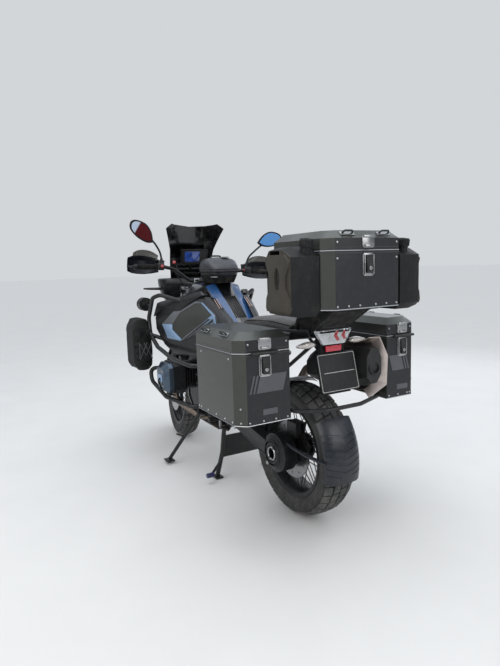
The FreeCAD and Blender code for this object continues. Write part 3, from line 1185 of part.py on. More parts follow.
# Centre stand
stand_x = ahead(S.stand_pivot_ahead)
stand_z = S.stand_pivot_height
LEG = 13
foot_x = stand_x + S.stand_foot_ahead
stand_parts = []
for s in (1, -1):
    stand_parts.append(tube([V(stand_x, s * 138, stand_z + 4),
                             V(stand_x + S.stand_foot_ahead * 0.55, s * 142, stand_z * 0.5),
                             V(foot_x, s * S.stand_foot_out, 8)], LEG, 80))
    stand_parts.append(box(foot_x - 34, foot_x + 30, s * S.stand_foot_out - 22, s * S.stand_foot_out + 22,
                           0, 9))
    stand_parts.append(rod(V(stand_x, s * 106, stand_z), V(stand_x, s * 138, stand_z), S.stand_pin_radius))
    stand_parts.append(rod(V(stand_x, s * 124, stand_z), V(stand_x, s * 138, stand_z), 16))
web_top = V(stand_x + 14, 0, stand_z - 50)
web_low = V(stand_x + 34, 0, 118)
stand_parts.append(slab([web_top + V(0, 138, 0), web_top + V(0, -138, 0), web_low + V(0, -142, 0),
                         web_low + V(0, 142, 0)], V(6, 0, 1)))
stand_parts.append(tube([V(stand_x + 30, 146, 110), V(stand_x + 20, 190, 70), V(stand_x - 6, 226, 52)], 8,
                        30))
stand_parts.append(rod(V(stand_x - 14, 222, 50), V(stand_x - 14, 262, 50), 13))
centre_stand = fused(stand_parts).cut(box(foot_x - 200, foot_x + 200, -300, 300, -60, 0))
centre_stand = piece("centre_stand", centre_stand)

exhaust = piece("exhaust_pipes", fused(headers + [collector, link]),
                [cylinders, engine_block, silencer, skid_plate])

for item in steering_nodes + [front_tyre, front_wheel, front_disc_pair]:
    steered(item)
doc.recompute()

os.makedirs("parts", exist_ok=True)
for old in os.listdir("parts"):
    if old.endswith(".step"):
        os.remove(os.path.join("parts", old))
for item in doc.Objects:
    if any(word in ("Invalid", "Error") for word in item.State):
        raise RuntimeError(f"{item.Label} failed: {item.State}")
for node in NODES:
    shape = node.Shape
    if shape.isNull() or not shape.isValid() or not shape.Solids:
        raise RuntimeError(f"{node.Label} has no valid shape")
    Part.makeCompound(shape.Solids).exportStep(f"parts/{node.Label}.step")
print(len(NODES), "nodes written")
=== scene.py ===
import json
import math
import bmesh
import bpy
from mathutils import Matrix, Vector

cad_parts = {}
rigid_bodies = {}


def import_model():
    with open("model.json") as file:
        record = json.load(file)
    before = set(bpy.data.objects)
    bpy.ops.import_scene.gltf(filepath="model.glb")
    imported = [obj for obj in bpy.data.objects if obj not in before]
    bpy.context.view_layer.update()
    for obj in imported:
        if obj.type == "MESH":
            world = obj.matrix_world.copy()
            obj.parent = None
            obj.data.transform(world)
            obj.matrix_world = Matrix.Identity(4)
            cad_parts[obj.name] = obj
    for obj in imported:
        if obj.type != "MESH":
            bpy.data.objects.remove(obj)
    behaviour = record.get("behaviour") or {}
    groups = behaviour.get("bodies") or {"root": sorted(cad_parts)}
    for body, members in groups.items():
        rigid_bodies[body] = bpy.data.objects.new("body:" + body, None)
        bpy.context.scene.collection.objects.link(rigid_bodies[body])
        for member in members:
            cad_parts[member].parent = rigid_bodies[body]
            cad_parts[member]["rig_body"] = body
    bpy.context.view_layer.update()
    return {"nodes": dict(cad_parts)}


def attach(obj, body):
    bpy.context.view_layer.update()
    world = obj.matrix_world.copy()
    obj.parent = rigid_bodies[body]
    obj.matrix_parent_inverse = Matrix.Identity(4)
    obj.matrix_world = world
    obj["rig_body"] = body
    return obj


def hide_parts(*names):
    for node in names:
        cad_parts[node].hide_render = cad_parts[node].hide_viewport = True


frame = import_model()

# Places below are given as in the solids: millimetres, with x measured ahead of the rear axle
MM = 0.001
SIDES = ((1, "left"), (-1, "right"))
BACK = ((0, -1, 0), (0, 0, 1))
STEERING = frame["nodes"]["handlebar"]["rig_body"]
REAR_AXLE_X = -676
REAR_Z, FRONT_Z = 330, 325
WHEELBASE = 1504
STEER_TURN = math.radians(-10)
STEER_FOOT = Vector((0.782376, 0, 0.303822))
STEER_UP = Vector((-0.421036, 0, 0.907044))
STEER_AHEAD = Vector((0.907044, 0, 0.421036))


def at(ahead, out, up):
    """A place given in millimetres ahead of the rear axle, to the left and above the ground."""
    return Vector(((ahead + REAR_AXLE_X) * MM, out * MM, up * MM))


def around(count):
    """Angles spaced evenly round one turn."""
    return [math.tau * i / count for i in range(count)]


def in_metres(points):
    return [(x * MM, y * MM) for x, y in points]


def steer_point(forward, out, up):
    """A place along the steering axis, bars straight, in millimetres from the fork's foot."""
    return STEER_FOOT + (STEER_AHEAD * forward + STEER_UP * up) * MM + Vector((0, out * MM, 0))


def steer_matrix():
    turn = Matrix.Rotation(STEER_TURN, 4, STEER_UP)
    return Matrix.Translation(STEER_FOOT) @ turn @ Matrix.Translation(-STEER_FOOT)


# Finishes: a socket that takes arithmetic, and a material built with it


class Value:
    """A socket of a finish; arithmetic on it adds the Math node it stands for."""

    def __init__(self, finish, socket):
        self.finish, self.socket = finish, socket

    def math(self, operation, *others):
        sockets = dict(enumerate((self, *others)))
        return self.finish.node("ShaderNodeMath", {"operation": operation}, sockets)

    def __add__(self, other):
        return self.math("ADD", other)

    def __mul__(self, other):
        return self.math("MULTIPLY", other)

    def __sub__(self, other):
        return self.math("SUBTRACT", other)

    def __rsub__(self, other):
        return self.finish.node("ShaderNodeMath", {"operation": "SUBTRACT"}, {0: other, 1: self})

    __radd__ = __add__
    __rmul__ = __mul__

    def band(self, low, high):
        """0 below low, 1 above high, smooth between."""
        spread = {"Value": self, "From Min": low, "From Max": high}
        return self.finish.node("ShaderNodeMapRange", {"interpolation_type": "SMOOTHSTEP"}, spread)


def linear(colour):
    """A colour written as rrggbb, as the shader wants it."""
    parts = [int(colour[i:i + 2], 16) / 255 for i in (0, 2, 4)]
    return [c / 12.92 if c < 0.04045 else ((c + 0.055) / 1.055) ** 2.4 for c in parts] + [1.0]


FINISHES = {}


class Finish:
    """A procedural material: its shader, its patterns and what they feed."""

    def __init__(self, name, **fixed):
        self.material = FINISHES[name] = bpy.data.materials.new(name)
        self.material.use_nodes = True
        self.tree = self.material.node_tree
        self.tree.nodes.clear()
        self.shader = self.tree.nodes.new("ShaderNodeBsdfPrincipled")
        self.end = self.tree.nodes.new("ShaderNodeOutputMaterial")
        self.tree.links.new(self.shader.outputs[0], self.end.inputs[0])
        self.coords = self.node("ShaderNodeTexCoord", {}, {}, "Object")
        self.feed(**{key.replace("_", " ").title(): value for key, value in fixed.items()})

    def node(self, kind, settings=None, sockets=None, output=0):
        made = self.tree.nodes.new(kind)
        for key, value in (settings or {}).items():
            setattr(made, key, value)
        for key, value in (sockets or {}).items():
            if isinstance(value, Value):
                self.tree.links.new(value.socket, made.inputs[key])
            else:
                made.inputs[key].default_value = value
        return Value(self, made.outputs[output])

    def feed(self, **sockets):
        for key, value in sockets.items():
            socket = self.shader.inputs[key.replace("Ior", "IOR")]
            if isinstance(value, Value):
                self.tree.links.new(value.socket, socket)
            else:
                socket.default_value = value
        return self

    def stretched(self, *scale):
        return self.node("ShaderNodeMapping", {}, {"Vector": self.coords, "Scale": scale})

    def noise(self, scale, detail=3.0, rough=0.55, along=None):
        sockets = {"Vector": along or self.coords, "Scale": scale, "Detail": detail, "Roughness": rough}
        return self.node("ShaderNodeTexNoise", {}, sockets, "Fac")

    def cells(self, scale):
        return self.node("ShaderNodeTexVoronoi", {"feature": "F1"}, {"Vector": self.coords, "Scale": scale},
                         "Distance")

    def wave(self, scale, axis):
        settings = {"wave_type": "BANDS", "bands_direction": axis, "wave_profile": "SIN"}
        return self.node("ShaderNodeTexWave", settings, {"Vector": self.coords, "Scale": scale})

    def axis(self, name):
        return self.node("ShaderNodeSeparateXYZ", {}, {"Vector": self.coords}, name)

    def mix(self, share, one, other):
        one, other = (linear(c) if isinstance(c, str) else c for c in (one, other))
        return self.node("ShaderNodeMix", {"data_type": "RGBA"}, {"Factor": share, 6: one, 7: other}, 2)

    def bump(self, height, depth, strength=1.0, under=None):
        sockets = {"Height": height, "Distance": depth * MM, "Strength": strength}
        if under:
            sockets["Normal"] = under
        return self.node("ShaderNodeBump", {}, sockets)


def painted(name, dark, light, rough, grain=900, depth=0.05, coat=0.0, metal=0.0, dust=0.25, orange=0.0,
            worn=None):
    """A coated or moulded surface: two near colours in clouds, fine grain, dust and worn places."""
    made = Finish(name, metallic=metal, coat_weight=coat, coat_roughness=0.08)
    clouds = made.noise(7, 4)
    dirt = made.noise(38, 6, 0.7).band(0.45, 0.75)
    colour = made.mix(clouds, dark, light)
    colour = made.mix(dirt * dust, colour, "6d6a63")
    if worn:
        colour = made.mix(made.noise(210, 5, 0.8).band(0.66, 0.74) * 0.35, colour, worn)
    grains = made.noise(grain, 2)
    normal = made.bump(grains, depth)
    if orange:
        normal = made.bump(made.noise(120, 1), orange, under=normal)
    made.feed(**{"Base Color": colour, "Roughness": made.noise(60, 4) * 0.12 + dirt * dust * 0.3
                 + (rough - 0.06), "Normal": normal})


def moulded(name, dark, light, rough=0.55, scale=700, depth=0.12, dust=0.3):
    """Grained plastic: a leather-like cell pattern that is pressed into the mould."""
    made = Finish(name, specular_ior_level=0.25)
    cells = made.cells(scale)
    dirt = made.noise(30, 6, 0.7).band(0.45, 0.8)
    colour = made.mix(made.noise(9, 3), dark, light)
    colour = made.mix(dirt * dust, colour, "777269")
    made.feed(**{"Base Color": colour, "Roughness": cells * 0.15 + rough + dirt * 0.15,
                 "Normal": made.bump(cells, depth)})


def brushed(name, dark, light, rough, stain=0.0):
    """Bare metal drawn fore and aft, with fine lines and soft stains."""
    made = Finish(name, metallic=1.0)
    lines = made.noise(9, 3, 0.6, made.stretched(12, 260, 260))
    colour = made.mix(lines, dark, light)
    stains = made.noise(24, 5, 0.6).band(0.5, 0.8)
    colour = made.mix(stains * stain, colour, "5a5046")
    made.feed(**{"Base Color": colour, "Roughness": lines * 0.18 + stains * 0.12 + (rough - 0.08),
                 "Normal": made.bump(lines, 0.03)})


def woven(name, dark, light, pitch=900, rough=0.85, depth=0.25):
    """Heavy nylon cloth: threads over and under each other, each row faded a little differently."""
    made = Finish(name, sheen_weight=0.06, sheen_roughness=0.5, specular_ior_level=0.12)
    warp = made.wave(pitch / 6, "X") * made.wave(pitch / 6, "Z")
    weft = made.wave(pitch / 6, "Y") * made.wave(pitch / 6, "Z")
    threads = warp.math("MAXIMUM", weft)
    fade = made.noise(22, 5, 0.65)
    colour = made.mix(fade, dark, light)
    colour = made.mix(threads * 0.1, colour, "8d8a80")
    made.feed(**{"Base Color": colour, "Roughness": fade * 0.1 + rough - 0.05,
                 "Normal": made.bump(threads, depth, 1.0, made.bump(made.noise(60, 3), 1.2, 0.6))})


painted("gloss_black", "060709", "0c0e12", 0.22, coat=1.0, orange=0.04, dust=0.05)
painted("matt_black", "101112", "191a1b", 0.48, depth=0.08, dust=0.1, worn="4d4c49")
painted("frame_black", "0d0e0f", "151617", 0.4, depth=0.06, dust=0.12)
painted("engine_silver", "6b6e72", "8a8d90", 0.42, grain=420, depth=0.16, metal=0.85, dust=0.45,
        worn="b9babb")
painted("cover_silver", "3c4753", "5d6d7e", 0.3, grain=500, depth=0.08, metal=0.8, dust=0.15, worn="9fb0c0")
painted("alloy_black", "111214", "1b1c1e", 0.42, grain=600, depth=0.12, metal=0.3, dust=0.12, worn="4a4845")
# A lighter greenish copy of the cases' black, with worn places: painted sky sheen for their sides and
# upward faces
painted("case_painted_sheen", "343633", "424540", 0.36, grain=1500, depth=0.03, metal=0.35, coat=0.15, dust=0.08,
        worn="6b6b66")
painted("case_end", "17181c", "202126", 0.42, grain=1500, depth=0.03, metal=0.25, coat=0.1, dust=0.06,
        worn="45454a")
painted("case_decal", "4a4b50", "55565b", 0.5, grain=1500, depth=0.02, dust=0.2)
painted("panel_grey", "383936", "454642", 0.42, grain=1200, depth=0.03, metal=0.4, dust=0.1)
painted("panel_black", "0e0f10", "17181a", 0.36, grain=1200, depth=0.03, coat=0.25, dust=0.08)
painted("shield_satin", "c0b3ad", "d4c8c2", 0.33, grain=1300, depth=0.03, metal=0.85, dust=0.2)
painted("wing_blue_black", "0a0e16", "131a26", 0.34, coat=0.15, dust=0.12)
painted("lamp_shell", "0c0d0e", "141516", 0.35, coat=0.3, dust=0.2)
painted("plate_face", "08090b", "0e0f12", 0.55, dust=0.08)
painted("plate_border", "b8b8b4", "cfcfca", 0.45, dust=0.3)
painted("red_button", "8e1014", "b01a1e", 0.35, coat=0.4, dust=0.05)
painted("roller_blue", "2a2c55", "3a3d70", 0.4, metal=0.4, dust=0.3)
moulded("guard_plastic", "0d0e0f", "161718", 0.5, dust=0.12)
moulded("grained_plastic", "141516", "202122", 0.6, dust=0.4)
moulded("can_black", "121314", "1c1d1e", 0.5, scale=500, dust=0.1)
moulded("can_khaki", "36332d", "443f38", 0.45, scale=500, dust=0.12)
moulded("rubber_black", "0d0d0e", "181818", 0.75, scale=420, depth=0.2, dust=0.35)
brushed("bright_steel", "8a8b8c", "b7b8b9", 0.24)
brushed("disc_steel", "77787a", "a5a6a8", 0.28, stain=0.2)
brushed("pipe_steel", "6d625a", "94877c", 0.34, stain=0.5)
brushed("skid_alloy", "8d8f91", "a6a8aa", 0.4, stain=0.4)
brushed("bright_alloy", "9a9c9e", "c0c2c4", 0.3)
woven("bag_cloth", "0c0d0e", "17181a", 700)
painted("bag_top", "26272b", "3a3c42", 0.42, depth=0.1, coat=0.1, dust=0.12)
woven("strap_cloth", "111213", "1f2021", 1400, depth=0.15)
woven("net_grey", "4b4e50", "6a6d6f", 1400, depth=0.15)
woven("strap_orange", "8a4d1c", "b4692a", 1400, depth=0.15)


def tyre_finish(name, dark, light, dusty):
    made = Finish(name)
    dust = made.noise(14, 6, 0.7).band(0.3, 0.8)
    worn = made.noise(90, 4, 0.6)
    colour = made.mix(worn, dark, light)
    colour = made.mix(dust * dusty, colour, "7a7772")
    made.feed(**{"Base Color": colour, "Roughness": dust * 0.15 + 0.72,
                 "Normal": made.bump(made.noise(350, 4, 0.7), 0.25)})


def seat_finish():
    made = Finish("seat_cover", sheen_weight=0.2)
    pebbles = made.cells(520)
    folds = made.noise(40, 4)
    colour = made.mix(made.noise(11, 4), "232321", "31302d")
    made.feed(**{"Base Color": colour, "Roughness": pebbles * 0.2 + 0.5,
                 "Normal": made.bump(pebbles, 0.2, 1.0, made.bump(folds, 1.0, 0.5))})


def glass_finish(name, colour, rough, metal=0.0, coat=1.0, alpha=None, glow=None):
    made = Finish(name, metallic=metal, coat_weight=coat, coat_roughness=0.03)
    smears = made.noise(30, 5, 0.6).band(0.45, 0.8)
    tint = made.mix(smears * 0.08, colour, "8d9094")
    made.feed(**{"Base Color": tint, "Roughness": smears * 0.1 + rough})
    if alpha is not None:
        made.feed(**{"Alpha": smears * 0.1 + alpha})
    if glow:
        made.feed(**{"Emission Color": made.mix(made.noise(24, 2).band(0.3, 0.7) * 0.5, glow, "16203a"),
                     "Emission Strength": 0.4})


tyre_finish("tyre_rubber", "1a1a1b", "262627", 0.35)
tyre_finish("tyre_tread", "2e2e2f", "404041", 0.75)
seat_finish()


def faceted(name, dark, light, scale, metal=0.9, depth=2.0):
    """Moulded lamp optics: small facets under a clear skin."""
    made = Finish(name, metallic=metal, coat_weight=1.0, coat_roughness=0.03)
    facets = made.cells(scale)
    made.feed(**{"Base Color": made.mix(made.noise(scale * 0.6, 3), dark, light),
                 "Roughness": facets * 0.1 + 0.1, "Normal": made.bump(facets, depth)})


faceted("tail_mirror", "9a9c9e", "d6d8da", 70, 0.45, 1.2)
faceted("red_reflector", "b00f2a", "d8203c", 260, 0.0)
faceted("signal_lens", "a9a19c", "dcd6d0", 160, 0.5)
glass_finish("screen_smoke", "040405", 0.12, coat=0.5, alpha=0.985)
glass_finish("smoke_wing", "77746f", 0.15, alpha=0.8)
# The right mirror's glass: a painted reflection of blue sky
glass_finish("mirror_right", "2a70ac", 0.12, metal=0.2, coat=0.0)
glass_finish("lamp_glass", "c9ced2", 0.08, alpha=0.45)
glass_finish("lamp_mirror", "c4c6c8", 0.15, metal=1.0)
glass_finish("red_lens", "a3131c", 0.12)
glass_finish("display_lit", "05060a", 0.05, glow="3a62c8")


def split_painted_reflection(name, inner, outer):
    """Mirror glass with a painted reflection: two colours on its two halves, parted along a slanting line.
    """
    made = Finish(name, metallic=0.3)
    along = made.axis("Y") * 0.85 + made.axis("Z") * 0.53
    share = along.band(1.128, 1.136)
    made.feed(**{"Base Color": made.mix(share, inner, outer), "Roughness": made.noise(40, 3) * 0.05 + 0.12})


# The left mirror's glass: a painted reflection, dark red on one half and pale sky on the other
split_painted_reflection("mirror_left", "541216", "c3d3e4")
# The border's silver turned pale blue: a painted sky reflection; facet_grey is the plain silver
painted("silver_painted_sky_sheen", "7c98b8", "9db6d0", 0.3, metal=0.6, dust=0.06)
painted("facet_grey", "5f6265", "7a7d80", 0.36, metal=0.6, dust=0.1)
# Painted reflection: the sky's blue laid on the tank's glossy black flanks
painted("tank_painted_sky_reflection", "1a3c66", "2a5789", 0.32, coat=0.3, dust=0.04)
painted("tank_rose", "b59a92", "cbb3aa", 0.35, metal=0.4, dust=0.1)
painted("spoiler_rim", "b3b1ad", "cfcdc9", 0.4, dust=0.1)

# Modelling calls
WELD = 0.00002


def only(piece):
    """Leaves one piece selected and active."""
    if bpy.context.object and bpy.context.object.mode != "OBJECT":
        bpy.ops.object.mode_set(mode="OBJECT")
    bpy.ops.object.select_all(action="DESELECT")
    if piece:
        piece.select_set(True)
        bpy.context.view_layer.objects.active = piece
    return piece


def settle(piece):
    """Puts a piece's place, turn and size into its mesh."""
    only(piece)
    piece.data.transform(piece.matrix_world)
    piece.matrix_world = Matrix.Identity(4)
    return piece


def start(kind, name, place, extent):
    """A primitive at its size and place, ready for edit mode."""
    only(None)
    getattr(bpy.ops.mesh, f"primitive_{kind}_add")(location=place, size=1)
    piece = bpy.context.object
    piece.name = piece.data.name = name
    piece.scale = extent
    bpy.context.view_layer.update()
    return settle(piece)


class Editing:
    """Edit mode on one piece; its faces are picked by a test on their middle and normal."""

    def __init__(self, piece):
        self.piece = piece

    def __enter__(self):
        only(self.piece)
        bpy.ops.object.mode_set(mode="EDIT")
        bpy.ops.mesh.select_mode(type="FACE")
        bpy.ops.mesh.select_all(action="DESELECT")
        return self

    def __exit__(self, *trouble):
        bpy.ops.object.mode_set(mode="OBJECT")

    def pick(self, test):
        bpy.ops.mesh.select_all(action="DESELECT")
        mesh = bmesh.from_edit_mesh(self.piece.data)
        mesh.normal_update()
        for face in mesh.faces:
            if test(face.calc_center_median(), face.normal):
                face.select_set(True)
        bmesh.update_edit_mesh(self.piece.data)
        return self

    def scale(self, *factors, about=None):
        more = {"center_override": about} if about else {}
        bpy.ops.transform.resize(value=factors, **more)
        return self

    def inset(self, thickness, depth=0.0):
        bpy.ops.mesh.inset(thickness=thickness, depth=depth)
        return self


def tidy(piece):
    """Welds doubles and turns the faces outwards."""
    with Editing(piece):
        bpy.ops.mesh.select_all(action="SELECT")
        bpy.ops.mesh.remove_doubles(threshold=WELD)
        bpy.ops.mesh.normals_make_consistent(inside=False)
    return piece


def modify(piece, kind, **settings):
    only(piece)
    made = piece.modifiers.new(kind.title(), kind)
    for key, value in settings.items():
        setattr(made, key, value)
    bpy.ops.object.modifier_apply(modifier=made.name)
    return piece


def eased(piece, width=0.001, segments=2, angle=30):
    return modify(piece, "BEVEL", width=width, segments=segments, limit_method="ANGLE",
                  angle_limit=math.radians(angle))


def rounded(piece):
    return modify(piece, "SUBSURF", levels=1, render_levels=1)


def smooth(piece, angle=35):
    only(piece)
    bpy.ops.object.shade_smooth_by_angle(angle=math.radians(angle))
    return piece


def finished(piece, finish, body="frame", stands_for=(), steered=False):
    """Its finish, the body it rides on, and the nodes it stands for."""
    if steered:
        piece.data.transform(steer_matrix())
    piece.data.materials.clear()
    piece.data.materials.append(FINISHES[finish])
    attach(piece, body)
    if stands_for:
        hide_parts(*stands_for)
    return piece


def on_bars(piece, finish, stands_for=()):
    """A piece given with the bars straight, which turns with them."""
    return finished(piece, finish, STEERING, stands_for, True)


def more_finishes(piece, *pairs):
    """Further finishes on the faces that each test picks."""
    for finish, test in pairs:
        piece.data.materials.append(FINISHES[finish])
        index = len(piece.data.materials) - 1
        for face in piece.data.polygons:
            if test(face.center, face.normal):
                face.material_index = index
    return piece


def joined(name, pieces):
    only(pieces[0])
    for piece in pieces[1:]:
        piece.select_set(True)
    if len(pieces) > 1:
        bpy.ops.object.join()
    made = bpy.context.object
    made.name = made.data.name = name
    return made


def copied(piece, matrix):
    """A copy with its own mesh, moved by a matrix."""
    made = bpy.data.objects.new(piece.name + "_copy", piece.data.copy())
    bpy.context.scene.collection.objects.link(made)
    made.data.transform(matrix)
    if matrix.determinant() < 0:
        made.data.flip_normals()
    return made


def grouped(name, pieces, finish, body="frame"):
    """Pieces made one, with their finish."""
    return finished(joined(name, pieces), finish, body)


OTHER_SIDE = Matrix.Scale(-1, 4, (0, 1, 0))


def both_sides(name, piece):
    return joined(name, [piece, copied(piece, OTHER_SIDE)])


def rounded_path(points, bend, steps=6):
    """The points with their corners rounded, in metres."""
    made = [points[0]]
    for before, corner, after in zip(points, points[1:], points[2:]):
        a, b = before - corner, after - corner
        reach = min(bend, a.length * 0.48, b.length * 0.48)
        one, two = corner + a.normalized() * reach, corner + b.normalized() * reach
        for i in range(steps + 1):
            t = i / steps
            made.append(one * (1 - t) ** 2 + corner * 2 * t * (1 - t) + two * t * t)
    return made + [points[-1]]


def drawn(name, loops, flat=True, closed=True, **settings):
    """A curve through points, made a mesh."""
    curve = bpy.data.curves.new(name, "CURVE")
    curve.dimensions = "2D" if flat else "3D"
    for key, value in settings.items():
        setattr(curve, key, value)
    for loop in loops:
        spline = curve.splines.new("POLY")
        spline.points.add(len(loop) - 1)
        for point, co in zip(spline.points, loop):
            point.co = (*co, 0, 1) if len(co) == 2 else (*co, 1)
        spline.use_cyclic_u = closed
    piece = bpy.data.objects.new(name, curve)
    bpy.context.scene.collection.objects.link(piece)
    only(piece)
    bpy.ops.object.convert(target="MESH")
    return bpy.context.object


def pipe(name, points, radius, bend=0.04, detail=3):
    """A round bar or hose through points."""
    return smooth(tidy(drawn(name, [rounded_path(points, bend)], flat=False, closed=False,
                             bevel_depth=radius, bevel_resolution=detail, use_fill_caps=True)), 50)


def sheet_cut(name, outline, thick, matrix, ease=0.0006, holes=()):
    """A flat plate cut to an outline, its rim eased, turned into place by a matrix."""
    piece = drawn(name, [outline, *holes], fill_mode="BOTH", extrude=max(thick / 2 - ease, 0.00005),
                  bevel_depth=ease, bevel_resolution=1, offset=-ease)
    piece.data.transform(matrix)
    return smooth(tidy(piece), 30)


def facing(origin, right, up):
    """Matrix that lays a flat drawing at origin, its x along right and its y along up."""
    right = Vector(right).normalized()
    out = right.cross(Vector(up)).normalized()
    up = out.cross(right)
    made = Matrix((right, up, out)).transposed().to_4x4()
    made.translation = Vector(origin)
    return made


def box_piece(name, low, high, ease=0.002, segments=2):
    """A block with eased edges."""
    low, high = Vector(low), Vector(high)
    return smooth(eased(start("cube", name, (low + high) / 2, high - low), ease, segments), 40)


def spun(name, profile, centre, steps=48, axis="Y", closed=False):
    """A turned part: (radius, along) pairs spun about an axis through the centre."""
    points = [(r, a, 0) for r, a in profile]
    piece = drawn(name, [points], flat=False, closed=closed)
    with Editing(piece):
        bpy.ops.mesh.select_all(action="SELECT")
        bpy.ops.mesh.spin(steps=steps, angle=math.tau, center=(0, 0, 0), axis=(0, 1, 0))
        bpy.ops.mesh.select_all(action="SELECT")
        bpy.ops.mesh.remove_doubles(threshold=WELD)
        bpy.ops.mesh.normals_make_consistent(inside=False)
    turn = {"Y": Matrix.Identity(4), "X": Matrix.Rotation(-math.pi / 2, 4, "Z"),
            "Z": Matrix.Rotation(math.pi / 2, 4, "X")}[axis]
    piece.data.transform(Matrix.Translation(Vector(centre)) @ turn)
    return smooth(piece, 35)


def aimed(piece, start_point, end_point):
    """Turns a piece that stands along +Y at the origin so that it runs from one point to another."""
    run = Vector(end_point) - Vector(start_point)
    turn = Vector((0, 1, 0)).rotation_difference(run.normalized()).to_matrix().to_4x4()
    piece.data.transform(Matrix.Translation(Vector(start_point)) @ turn)
    return piece


def turned(name, profile, steps, start_point, end_point):
    """A turned part that stands from one point towards another."""
    return aimed(spun(name, profile, (0, 0, 0), steps), start_point, end_point)


def welded(node, name=None):
    """A node's own solid as one closed mesh."""
    piece = bpy.data.objects.new(name or node + "_shape", frame["nodes"][node].data.copy())
    bpy.context.scene.collection.objects.link(piece)
    only(piece)
    bpy.ops.mesh.customdata_custom_splitnormals_clear()
    with Editing(piece):
        bpy.ops.mesh.select_all(action="SELECT")
        bpy.ops.mesh.remove_doubles(threshold=WELD)
        bpy.ops.mesh.dissolve_limited(angle_limit=math.radians(1.0))
    return piece


def dressed(node, finish, slot, ease=0.0):
    """A node's solid with its edges eased, standing for the node."""
    piece = welded(node)
    if ease:
        eased(piece, ease, 2, 40)
    return finished(smooth(piece), finish, frame["nodes"][node]["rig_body"], [node])


def lofted(name, sections):
    """Closed sections bridged one after another, and capped."""
    piece = drawn(name, sections, flat=False)
    with Editing(piece):
        bpy.ops.mesh.select_mode(type="EDGE")
        bpy.ops.mesh.select_all(action="SELECT")
        bpy.ops.mesh.bridge_edge_loops()
        for end in (0, -1):
            edit_cap(piece, [Vector(p) for p in sections[end]])
        bpy.ops.mesh.select_all(action="SELECT")
        bpy.ops.mesh.normals_make_consistent(inside=False)
    return smooth(piece, 45)


def edit_cap(piece, corners):
    """Fills the open end whose corners are given."""
    bpy.ops.mesh.select_mode(type="VERT")
    bpy.ops.mesh.select_all(action="DESELECT")
    mesh = bmesh.from_edit_mesh(piece.data)
    for vert in mesh.verts:
        if min((vert.co - c).length for c in corners) < 0.00001:
            vert.select_set(True)
    mesh.select_flush(True)
    bmesh.update_edit_mesh(piece.data)
    bpy.ops.mesh.edge_face_add()
    bpy.ops.mesh.select_mode(type="FACE")


# The solids that keep their shape
for node, finish, slot, *ease in (
    ("front_wheel", "alloy_black", "black_rim"), ("rear_wheel", "alloy_black", "black_rim"),
    ("front_discs", "disc_steel", "disc_steel"), ("rear_disc", "disc_steel", "disc_steel"),
    ("fork_sliders", "frame_black", "fork_black"), ("fork_tubes", "bright_steel", "fork_chrome"),
    ("handlebar", "matt_black", "bar_black"), ("front_mudguard", "guard_plastic", "guard_black"),
    ("engine_block", "alloy_black", "engine_silver"), ("main_frame", "frame_black", "frame_black"),
    ("rear_frame", "frame_black", "frame_black"), ("tank_panels", "panel_black", "panel_grey", 0.0015),
    ("front_carrier", "frame_black", "frame_black"), ("head_lamp", "lamp_shell", "lamp_lens"),
    ("front_beak", "guard_plastic", "beak_black"), ("upper_crash_bars", "frame_black", "bar_guard"),
    ("lower_crash_bars", "frame_black", "bar_guard"), ("fog_lamps", "lamp_shell", "lamp_lens"),
    ("radiators", "guard_plastic", "radiator_black"), ("skid_plate", "skid_alloy", "skid_alloy"),
    ("front_wishbone", "frame_black", "frame_black"), ("swingarm", "alloy_black", "frame_black"),
    ("rear_mudguards", "wing_blue_black", "guard_black"),
    ("case_channel", "shield_satin", "channel_bright"), ("plate_holder", "guard_plastic", "guard_black"),
    ("exhaust_pipes", "pipe_steel", "exhaust_steel"), ("silencer", "matt_black", "silencer_satin"),
    ("footrests", "frame_black", "stand_black"), ("pannier_racks", "frame_black", "frame_black"),
    ("luggage_bridge", "frame_black", "frame_black"), ("centre_stand", "frame_black", "stand_black"),
    ("side_stand", "frame_black", "stand_black"),
):
    dressed(node, finish, slot, *ease)

# Luggage


def rectangle(wide, tall, cut=0.0):
    """A rectangle in metres about its middle, its corners cut."""
    w, h = wide / 2, tall / 2
    corners = ((-w + cut, -h), (w - cut, -h), (w, -h + cut), (w, h - cut), (w - cut, h), (-w + cut, h),
               (-w, h - cut), (-w, -h + cut))
    return in_metres(corners if cut else (corners[0], corners[1], corners[3], corners[5]))


RIVET = [(0.0046, 0), (0.0043, 0.0014), (0.003, 0.0026), (0, 0.003)]


def rivets(name, places, body):
    """Domed rivet heads, each at a place on a wall that faces the given way."""
    head = spun(name + "_head", RIVET, (0, 0, 0), 12)
    heads = []
    for place, facing_way in places:
        one = copied(head, Matrix.Identity(4))
        heads.append(aimed(one, place, place + Vector(facing_way)))
    bpy.data.objects.remove(head)
    grouped(name, heads, "bright_alloy", body)


LOCK = [(0.008, 0), (0.008, 0.005), (0.0065, 0.0065), (0.002, 0.0065), (0.0015, 0.004), (0, 0.004)]


